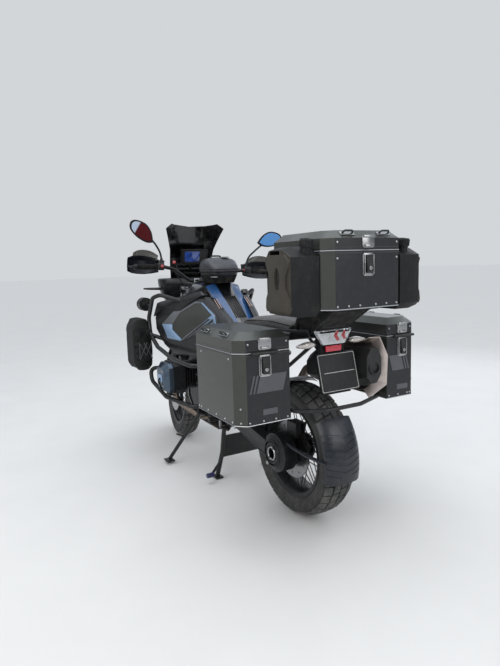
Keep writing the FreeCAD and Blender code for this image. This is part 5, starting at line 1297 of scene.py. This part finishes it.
# Head lamp: glass over two round optics; fog lamps: bezel, glass and cooling rings
LAMP_FACE = ((-150, 40), (-96, 62), (0, 70), (96, 62), (150, 40), (128, -30), (60, -62), (-60, -62),
             (-128, -30))
glass = sheet_cut("head_lamp_glass", [(y * 0.68 * MM, (z * 0.66 - 6) * MM) for y, z in LAMP_FACE], 0.003,
                  facing(at(1418, 0, 1010), (0, 1, 0), (0, 0, 1)), 0.001)
finished(glass, "lamp_glass", "frame")
OPTIC = [(0.0, 0.007), (0.016, 0.006), (0.024, 0.0015), (0.027, 0.0015), (0.03, 0.006), (0.034, 0.006),
         (0.034, 0.0)]
optics = [spun("optic", OPTIC, at(1416, y, 1006), 32, "X") for y in (-44, 44)]
grouped("head_lamp_optics", optics, "lamp_mirror")
BEZEL = [(0.03, 0.002), (0.036, 0.012), (0.0405, 0.012), (0.042, 0.009), (0.042, -0.004), (0.03, -0.004)]
bezels, lenses, rings = [], [], []
for side in (1, -1):
    bezels.append(spun("fog_bezel", BEZEL, at(1238, side * 348, 985), 36, "X", closed=True))
    lenses.append(spun("fog_lens", [(0.0, 0.006), (0.018, 0.0045), (0.031, 0.0)], at(1245, side * 348, 985),
                       32, "X"))
    for x in (1182, 1189, 1196, 1203):
        rings.append(spun("fog_ring", [(0.036, 0), (0.0425, 0), (0.0425, 0.003), (0.036, 0.003)],
                          at(x, side * 348, 985), 32, "X", closed=True))
grouped("fog_bezels", bezels, "alloy_black")
grouped("fog_lenses", lenses, "lamp_glass")
grouped("fog_rings", rings, "lamp_shell")

# Mirrors: drop-shaped shells with their glass, on bent arms
MIRROR_RIM = ((-88, -18), (-58, -40), (0, -46), (58, -30), (78, 6), (56, 34), (0, 46), (-50, 24))
BOOT = [(0.0, 0), (0.012, 0), (0.012, 0.01), (0.009, 0.013), (0.0085, 0.034), (0.007, 0.04), (0, 0.04)]
MIRROR_ROWS = ((-1, 0.9), (0, 1.02), (4, 1.05), (16, 0.98), (28, 0.7), (36, 0.32))


def mirror_point(side, tilt, depth, y, z):
    a = math.radians(tilt)
    return at(950 + depth, side * (410 + y * math.cos(a) - z * math.sin(a)),
              1402 + y * math.sin(a) + z * math.cos(a))


for side, word, tilt in ((1, "left", 32), (-1, "right", 6)):
    round_rim = eased_line([*MIRROR_RIM, MIRROR_RIM[0]])[:-1]
    rows = [[mirror_point(side, tilt, depth, y * share, z * share) for y, z in round_rim]
            for depth, share in MIRROR_ROWS]
    shell = lofted(f"{word}_mirror_shell", rows)
    on_bars(smooth(shell, 50), "guard_plastic", ["mirrors"])
    glass_rows = [[mirror_point(side, tilt, depth, y * 0.88, z * 0.86) for y, z in round_rim]
                  for depth in (-2.2, -0.6)]
    # Each mirror's glass takes its painted reflection
    on_bars(lofted(f"{word}_mirror_glass", glass_rows), f"mirror_{word}")
    arm = pipe(f"{word}_mirror_arm", [at(1022.8, side * 273, 1214), at(1016.8, side * 285, 1282),
                                      at(974, side * 332, 1340), at(972, side * 402, 1398)], 0.006, 0.03)
    boot = turned(f"{word}_mirror_boot", BOOT, 20, at(1022.8, side * 273, 1210), at(1019, side * 281, 1260))
    on_bars(joined(f"{word}_mirror_arm", [arm, boot]), "matt_black")

# Hand guards: a bent shield with a lip, its frame and a smoky spoiler with a pale edge
GUARD_UP = 1199
GUARD_ROWS = ((280, 1098, 34, 12), (326, 1098, 44, 15), (372, 1096, 50, 16), (416, 1080, 50, 17),
              (454, 1054, 46, 16), (486, 1000, 36, 12))


def guard_loop(y, x, tall, deep):
    z = GUARD_UP
    face = ((x, z - tall), (x + deep, z - tall * 0.4), (x + deep + 3, z + tall * 0.1),
            (x + deep, z + tall * 0.16), (x + deep, z + tall * 0.7), (x - 14, z + tall * 1.25))
    return [at(px, y, pz) for px, pz in face] + [at(px - 4.5, y, pz - 1.5) for px, pz in reversed(face)]


shield = lofted("guard_shield", [guard_loop(*row) for row in GUARD_ROWS])
on_bars(both_sides("guard_shields", smooth(eased(shield, 0.0012, 2, 50), 40)), "wing_blue_black",
        ["hand_guards"])
SPOILER_ROWS = ((292, 1092, 36, 30), (330, 1094, 46, 44), (372, 1092, 52, 46), (416, 1076, 52, 42),
                (450, 1052, 48, 28))


def spoiler_loop(y, x, tall, high):
    z = GUARD_UP + tall * 1.02
    return [at(x - 2, y, z), at(x - 16, y, z + high * 0.6), at(x - 36, y, z + high),
            at(x - 38.5, y, z + high - 1), at(x - 19, y, z + high * 0.58), at(x - 5, y, z)]


spoiler = lofted("guard_spoiler", [spoiler_loop(*row) for row in SPOILER_ROWS])
on_bars(both_sides("guard_spoilers", spoiler), "smoke_wing")
edge = pipe("spoiler_edge", [at(x - 37, y, GUARD_UP + tall * 1.02 + high)
                             for y, x, tall, high in SPOILER_ROWS], 0.0014, 0.02, 1)
on_bars(both_sides("spoiler_edges", edge), "spoiler_rim")
strut = pipe("guard_strut", [at(978, 432, 1191), at(969, 465, 1190), at(1030, 482, 1191),
                             at(1086, 422, 1199)], 0.007, 0.018)
on_bars(both_sides("guard_struts", strut), "alloy_black")

# Controls on the bars: ribbed grips, end weights, switch boxes, reservoirs, levers, buttons
BAR_TIP, BAR_OUT = at(978, 432, 1191), Vector((-0.2716, 0.9618, -0.0339))
GRIP_IN = BAR_TIP - BAR_OUT * 0.125
SWITCH_IN = GRIP_IN - BAR_OUT * 0.052
profile = [(0.0112, 0), (0.021, 0), (0.021, 0.004), (0.0172, 0.006)]
for i in range(13):
    y = 0.01 + i * 0.0085
    profile += [(0.0172, y), (0.0172, y + 0.005), (0.0162, y + 0.0056), (0.0162, y + 0.008)]
grip = turned("grip", profile + [(0.0172, 0.123), (0.0112, 0.124)], 28, GRIP_IN, BAR_TIP)
on_bars(both_sides("grips", grip), "rubber_black", ["bar_controls"])
weight = turned("bar_weight", [(0, 0), (0.015, 0), (0.0165, 0.002), (0.0165, 0.018), (0.012, 0.023),
                               (0, 0.023)], 24, BAR_TIP, BAR_TIP + BAR_OUT)
on_bars(both_sides("bar_weights", weight), "alloy_black")
box = start("cube", "switch_box", (0, 0.026, 0.001), (0.038, 0.044, 0.043))
with Editing(box) as edit:
    edit.pick(lambda c, n: n.x < -0.9).inset(0.006, 0.003)
aimed(smooth(eased(box, 0.005, 3), 40), SWITCH_IN, GRIP_IN)
on_bars(both_sides("switch_boxes", box), "matt_black")
perch = aimed(smooth(eased(start("cube", "lever_perch", (0.026, 0.0, 0), (0.05, 0.024, 0.026)), 0.005, 3),
                     40), SWITCH_IN, GRIP_IN)
on_bars(both_sides("lever_perches", perch), "alloy_black")
pot_foot = SWITCH_IN + BAR_OUT * 0.014 + Vector((34, 0, 8)) * MM
pot = spun("reservoir", [(0, 0), (0.019, 0), (0.0215, 0.003), (0.0215, 0.023), (0.0235, 0.024),
                         (0.0235, 0.031), (0.021, 0.033), (0, 0.033)], (0, 0, 0), 28)
on_bars(both_sides("reservoirs", aimed(pot, pot_foot, pot_foot + Vector((0, 0, 1)))), "lamp_shell")
lever = pipe("lever", [SWITCH_IN + Vector((22, 12, 0)) * MM, SWITCH_IN + Vector((58, 34, -4)) * MM,
                       BAR_TIP + Vector((52, -10, -8)) * MM], 0.0058, 0.03)
tip = turned("lever_ball", [(0, -0.009), (0.006, -0.007), (0.009, 0), (0.006, 0.007), (0, 0.009)], 16,
             BAR_TIP + Vector((52, -10, -8)) * MM, BAR_TIP + Vector((52, 0, -8)) * MM)
on_bars(both_sides("levers", joined("lever", [lever, tip])), "alloy_black")
BUTTON = [(0, 0.006), (0.008, 0.006), (0.0105, 0.004), (0.0105, 0.0), (0.0, 0.0)]
buttons = [turned("button", BUTTON, 20, at(x, y, z), at(x - 10, y, z + 2))
           for x, y, z in ((1046, 279, 1222), (1046, 200, 1243), (972, -258, 1180))]
grouped("red_buttons", buttons, "red_button", STEERING)

# Upper bridge in bare alloy, fork caps, bar clamps and stem nut
BRIDGE = ((-31, -32), (-31, 32), (8, 125), (53, 125), (53, -125), (8, -125))
bridge_place = facing(steer_point(0, 0, 831), STEER_AHEAD, (0, 1, 0))
top = sheet_cut("bridge_top", in_metres(BRIDGE), 0.004, bridge_place, 0.001)
on_bars(top, "bright_alloy")
CAP = [(0, 0.012), (0.009, 0.012), (0.0095, 0.009), (0.0175, 0.008), (0.0195, 0.006), (0.0195, 0.0), (0, 0)]
caps = [turned("fork_cap", CAP, 24, steer_point(30, side * 104, 834), steer_point(30, side * 104, 900))
        for side in (1, -1)]
caps.append(turned("stem_nut", [(0, 0.01), (0.01, 0.01), (0.016, 0.006), (0.018, 0)], 6,
                   steer_point(0, 0, 832), steer_point(0, 0, 900)))
on_bars(joined("fork_caps", caps), "bright_steel")
clamps = [box_piece("bar_clamp", at(1056, y - 17, 1104), at(1092, y + 17, 1134), 0.005, 3)
          for y in (-42, 42)]
on_bars(joined("bar_clamps", clamps), "bright_alloy")
for side, word in SIDES:
    hose = pipe(f"{word}_brake_hose", [at(1060, side * 276, 1204), at(1096, side * 220, 1196),
                                       at(1128, side * 150, 1150), at(1120, side * 112, 1085)], 0.0035,
                0.05, 2)
    on_bars(hose, "rubber_black")

# Engine: silver-blue cover facets, cover bolts and a raised rib on each head
cylinder_shell = dressed("cylinders", "alloy_black", "cover_silver")
COVER_OUT = 0.319
more_finishes(cylinder_shell, ("cover_silver", lambda c, n: abs(c.y) > COVER_OUT))
HEX = [(0, 0.005), (0.005, 0.005), (0.006, 0.0035), (0.006, 0)]


def hex_heads(name, places, way, body="frame", size=1.0, finish="bright_steel"):
    """Bolt heads at places, all standing out the same way."""
    heads = []
    for place in places:
        head = spun(name, [(r * size, a * size) for r, a in HEX], (0, 0, 0), 6)
        heads.append(aimed(head, place, place + Vector(way)))
    return finished(smooth(joined(name, heads), 25), finish, body)


for side, word in SIDES:
    rib = box_piece(f"{word}_cover_rib", at(886, side * 370.5, 536), at(954, side * 377, 584), 0.003, 3)
    # The rib takes the same pale blue painted sky reflection
    finished(rib, "silver_painted_sky_sheen")
    hex_heads(f"{word}_cover_bolts", [at(920 + x, side * 371.5, 560 + z) for x in (-42, 42)
                                      for z in (-44, 44)], (0, side, 0))
    plug = pipe(f"{word}_plug_lead", [at(920, side * 376, 560), at(920, side * 384, 548),
                                      at(900, side * 372, 470), at(870, side * 300, 452)], 0.005, 0.02, 2)
    finished(plug, "rubber_black")

# Radiator cores: thin level slats on a frame
slats = [start("cube", "slat", (0.0132, 0, (-84 + 12 * n) * MM), (0.002, 0.142, 0.0032)) for n in range(15)]
slats += [start("cube", "slat_end", (0.0132, y * MM, 0), (0.003, 0.006, 0.184)) for y in (-72, 72)]
core = smooth(eased(joined("radiator_slats", slats), 0.0004, 1), 30)
core.data.transform(Matrix.Translation(at(1116, 205, 850)) @ Matrix.Rotation(math.radians(18), 4, "Z"))
finished(both_sides("radiator_slats", core), "grained_plastic")

# Final drive: cover rings round the hollow stub, bolts, gaiter and the torque arm's bolts
FINAL = frame["nodes"]["swingarm"]["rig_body"]
DRIVE_FACE = at(0, 165.5, REAR_Z)
outer = spun("drive_ring", [(0.06, 0.0), (0.0655, 0.0), (0.0655, 0.003), (0.062, 0.006), (0.06, 0.006)],
             DRIVE_FACE, closed=True)
step = spun("drive_step", [(0.040, 0), (0.052, 0), (0.052, 0.003), (0.049, 0.005), (0.043, 0.005),
                           (0.040, 0.003)], DRIVE_FACE, closed=True)
grouped("drive_rings", [outer, step], "alloy_black", FINAL)
collar = spun("drive_collar", [(0.0252, -0.004), (0.034, -0.004), (0.034, 0.006), (0.031, 0.009),
                               (0.0275, 0.009), (0.0252, 0.006)], DRIVE_FACE, 40, closed=True)
finished(collar, "bright_steel", FINAL)
hex_heads("drive_bolts", [at(58 * math.cos(a), 166, REAR_Z + 58 * math.sin(a))
                          for a in (math.tau * (i + 0.5) / 8 for i in range(8))], (0, 1, 0), FINAL, 0.9,
          "alloy_black")
hex_heads("arm_bolts", [at(450, 121.5, 334), at(50, 157.5, 268)], (0, 1, 0), FINAL, 1.9)
folds = [(0.036 if i % 2 else 0.043, i * 0.01) for i in range(6)]
gaiter = turned("shaft_gaiter", [(0.02, -0.002), *folds, (0.02, 0.052)], 32, at(478, 86, 400),
                at(380, 118, 384))
finished(gaiter, "rubber_black", FINAL)

# Rear shock with its spring
SHOCK_LOW, SHOCK_HIGH = at(430, 30, 425), at(470, 0, 751)
shock_body = frame["nodes"]["rear_shock"]["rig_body"]
run = (SHOCK_HIGH - SHOCK_LOW).normalized()
SEAT = [(0.01, 0), (0.034, 0), (0.034, 0.004), (0.028, 0.009), (0.01, 0.009)]


def on_shock(share):
    return SHOCK_LOW.lerp(SHOCK_HIGH, share)


damper = joined("shock_damper", [pipe("shock_rod", [SHOCK_LOW, SHOCK_HIGH], 0.012),
                                 pipe("shock_tube", [on_shock(0.1), on_shock(0.5)], 0.023),
                                 *(turned("spring_seat", SEAT, 28, on_shock(share), SHOCK_HIGH)
                                   for share in (0.13, 0.75))])
finished(damper, "frame_black", shock_body, ["rear_shock"])
side_way = run.cross(Vector((0, 1, 0))).normalized()
other_way = run.cross(side_way)
COIL_TURNS, COIL_STEPS = 7, 84
coil = []
for i in range(COIL_STEPS + 1):
    a = i * math.tau * COIL_TURNS / COIL_STEPS
    coil.append(on_shock(0.16 + 0.58 * i / COIL_STEPS) + (side_way * math.cos(a) + other_way * math.sin(a))
                * 0.028)
finished(pipe("shock_spring", coil, 0.0055, 0.002, 2), "bright_alloy", shock_body)

# Stand roller, footrest rubbers, gear and brake pedals
roller = spun("stand_roller", [(0.008, 0), (0.0132, 0.0), (0.0138, 0.002), (0.0138, 0.017), (0.0125, 0.02),
                               (0.0138, 0.023), (0.0138, 0.038), (0.0132, 0.04), (0.0, 0.0405)],
              at(546, 222.5, 50), 28)
finished(roller, "roller_blue", frame["nodes"]["centre_stand"]["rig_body"])
rubbers = [box_piece("peg_rubber", at(502, y, 383), at(534, y + 8, 391), 0.0025)
           for y in (190, 202, 214, 226, 238)]
finished(both_sides("peg_rubbers", joined("peg_rubber", rubbers)), "rubber_black")
pedal = pipe("foot_pedal", [at(536, 162, 372), at(600, 172, 352), at(664, 176, 360), at(668, 212, 362)],
             0.006, 0.03)
finished(both_sides("foot_pedals", pedal), "alloy_black")

# Tail: side covers under the passenger's seat and the carrier's hollow tower under the top case
COVER = [(336, 832), (340, 878), (200, 900), (40, 916), (-120, 922), (-226, 932), (-238, 900), (-120, 876),
         (60, 850), (220, 836)]
cover_place = facing(at(340, 143, 0), (-580, -34, 0), (0, 0, 1))
cover = sheet_cut("tail_cover", [((340 - x) * MM, z * MM) for x, z in COVER], 0.008, cover_place, 0.003)
finished(both_sides("tail_covers", cover), "panel_black")
TOWER_ROWS = ((896, -232, -70, 84), (930, -262, -84, 92), (976, -318, -112, 98), (1012, -376, -130, 104),
              (1017, -372, -134, 100))
tower = lofted("carrier_tower", [soft_rectangle(x0, x1, half, z, 0.3) for z, x0, x1, half in TOWER_ROWS])
finished(smooth(tower, 50), "grained_plastic")
handle = pipe("tail_handle", [at(-232, -70, 936), at(-268, -60, 944), at(-268, 60, 944), at(-232, 70, 936)],
              0.008, 0.03)
finished(handle, "matt_black")

# Tank: a painted sky reflection in blue on its flanks, ribs run along its middle and two lines beside it
tank_shell = dressed("fuel_tank", "gloss_black", "tank_black")
# Flank faces turned up and out get the painted sky reflection
more_finishes(tank_shell, ("tank_painted_sky_reflection", lambda c, n: n.x < -0.4 and 0.2 < abs(n.y) < 0.4 and n.z > 0.6))
ribs = [pipe("tank_rib", [at(566, y, 920), at(700, y, 1035.5)], 0.0035, 0.01, 2)
        for y in (-30, -18, -6, 6, 18, 30)]
grouped("tank_ribs", ribs, "rubber_black")
lines = [pipe("tank_line", [at(622, y, 973.5), at(694, y, 1023.5)], 0.0018, 0.01, 2) for y in (92, 106)]
finished(both_sides("tank_lines", joined("tank_lines", lines)), "tank_rose")
cap = spun("tank_cap", [(0, 0.012), (0.03, 0.012), (0.036, 0.008), (0.038, 0)], at(990, 0, 1111), 36, "Z")
finished(cap, "alloy_black")

# Strap end beside the seat
orange = pipe("strap_end", [at(566, 97, 876), at(520, 107, 876), at(446, 151, 880)], 0.0042, 0.02, 2)
finished(orange, "strap_orange")

# Floor, light and camera
floor = start("plane", "floor", (0, 0, -0.001), (160, 160, 1))
pale = Finish("floor_pale", roughness=0.85)
pale.feed(**{"Base Color": pale.mix(pale.noise(3, 5, 0.6), "d6d5d2", "dfdedb"),
             "Normal": pale.bump(pale.noise(220, 3), 0.3)})
floor.data.materials.append(pale.material)

# Above: a bright sky, bluish overhead and darker towards the horizon; the camera sees a plain pale ground
world = bpy.data.worlds.new("studio")
bpy.context.scene.world = world
world.use_nodes = True
sky = world.node_tree
seen = sky.nodes.new("ShaderNodeLightPath")
mixer = sky.nodes.new("ShaderNodeMixShader")
where = sky.nodes.new("ShaderNodeTexCoord")
split = sky.nodes.new("ShaderNodeSeparateXYZ")
ramp = sky.nodes.new("ShaderNodeValToRGB")
lights = [sky.nodes["Background"], sky.nodes.new("ShaderNodeBackground")]
for place, tint in ((0.0, "5f6062"), (0.22, "8d9197"), (0.5, "d6dce4")):
    stop = ramp.color_ramp.elements.new(place)
    stop.color = linear(tint)
ramp.color_ramp.elements.remove(ramp.color_ramp.elements[0])
ramp.color_ramp.elements[-1].color = linear("eef1f6")
lights[0].inputs[1].default_value = 1.25
lights[1].inputs[0].default_value = linear("d3d6d9")
sky.links.new(where.outputs["Generated"], split.inputs[0])
sky.links.new(split.outputs["Z"], ramp.inputs[0])
sky.links.new(ramp.outputs[0], lights[0].inputs[0])
sky.links.new(seen.outputs["Is Camera Ray"], mixer.inputs[0])
sky.links.new(lights[0].outputs[0], mixer.inputs[1])
sky.links.new(lights[1].outputs[0], mixer.inputs[2])
sky.links.new(mixer.outputs[0], sky.nodes["World Output"].inputs[0])

for name, place, aim, size, power, tint in (
    ("overhead", (-0.6, 0.4, 4.2), (0, 0, 0.6), (3.6, 2.4), 52, "f2f6ff"),
    ("left", (-2.2, 4.0, 2.4), (-0.2, 0, 0.7), (3.0, 2.4), 47, "fffaf2"),
    ("behind", (-4.4, -1.4, 2.2), (-0.4, 0, 0.7), (2.4, 2.0), 30, "ffffff"),
    ("right", (1.6, -3.8, 2.6), (0, 0, 0.8), (3.0, 2.0), 26, "f4f8ff"),
):
    lamp = bpy.data.lights.new(name, "AREA")
    lamp.shape = "RECTANGLE"
    lamp.size, lamp.size_y = size
    lamp.energy = power
    lamp.color = linear(tint)[:3]
    lamp_object = bpy.data.objects.new(name, lamp)
    bpy.context.scene.collection.objects.link(lamp_object)
    lamp_object.location = place
    lamp_object.rotation_euler = (Vector(aim) - Vector(place)).to_track_quat("-Z", "Y").to_euler()

# The photograph's viewpoint: place, heading, downward tilt and roll, and its lens for the long side
CAMERA_PLACE = Vector((-2.697, 1.403, 1.210))
HEADING, DOWN, ROLL = (math.radians(a) for a in (-29.36, 7.38, -1.82))
LENS = 28.27
camera = bpy.data.objects.new("camera", bpy.data.cameras.new("camera"))
bpy.context.scene.collection.objects.link(camera)
forward = Vector((math.cos(HEADING) * math.cos(DOWN), math.sin(HEADING) * math.cos(DOWN), -math.sin(DOWN)))
right = Vector((math.sin(HEADING), -math.cos(HEADING), 0))
upward = right.cross(forward)
level_right = right * math.cos(ROLL) + upward * math.sin(ROLL)
level_up = upward * math.cos(ROLL) - right * math.sin(ROLL)
view = Matrix((level_right, level_up, -forward)).transposed().to_4x4()
camera.matrix_world = Matrix.Translation(CAMERA_PLACE) @ view
camera.data.lens = LENS
camera.data.sensor_width = 36
camera.data.clip_start = 0.05
bpy.context.scene.camera = camera
bpy.context.scene.view_settings.view_transform = "Standard"
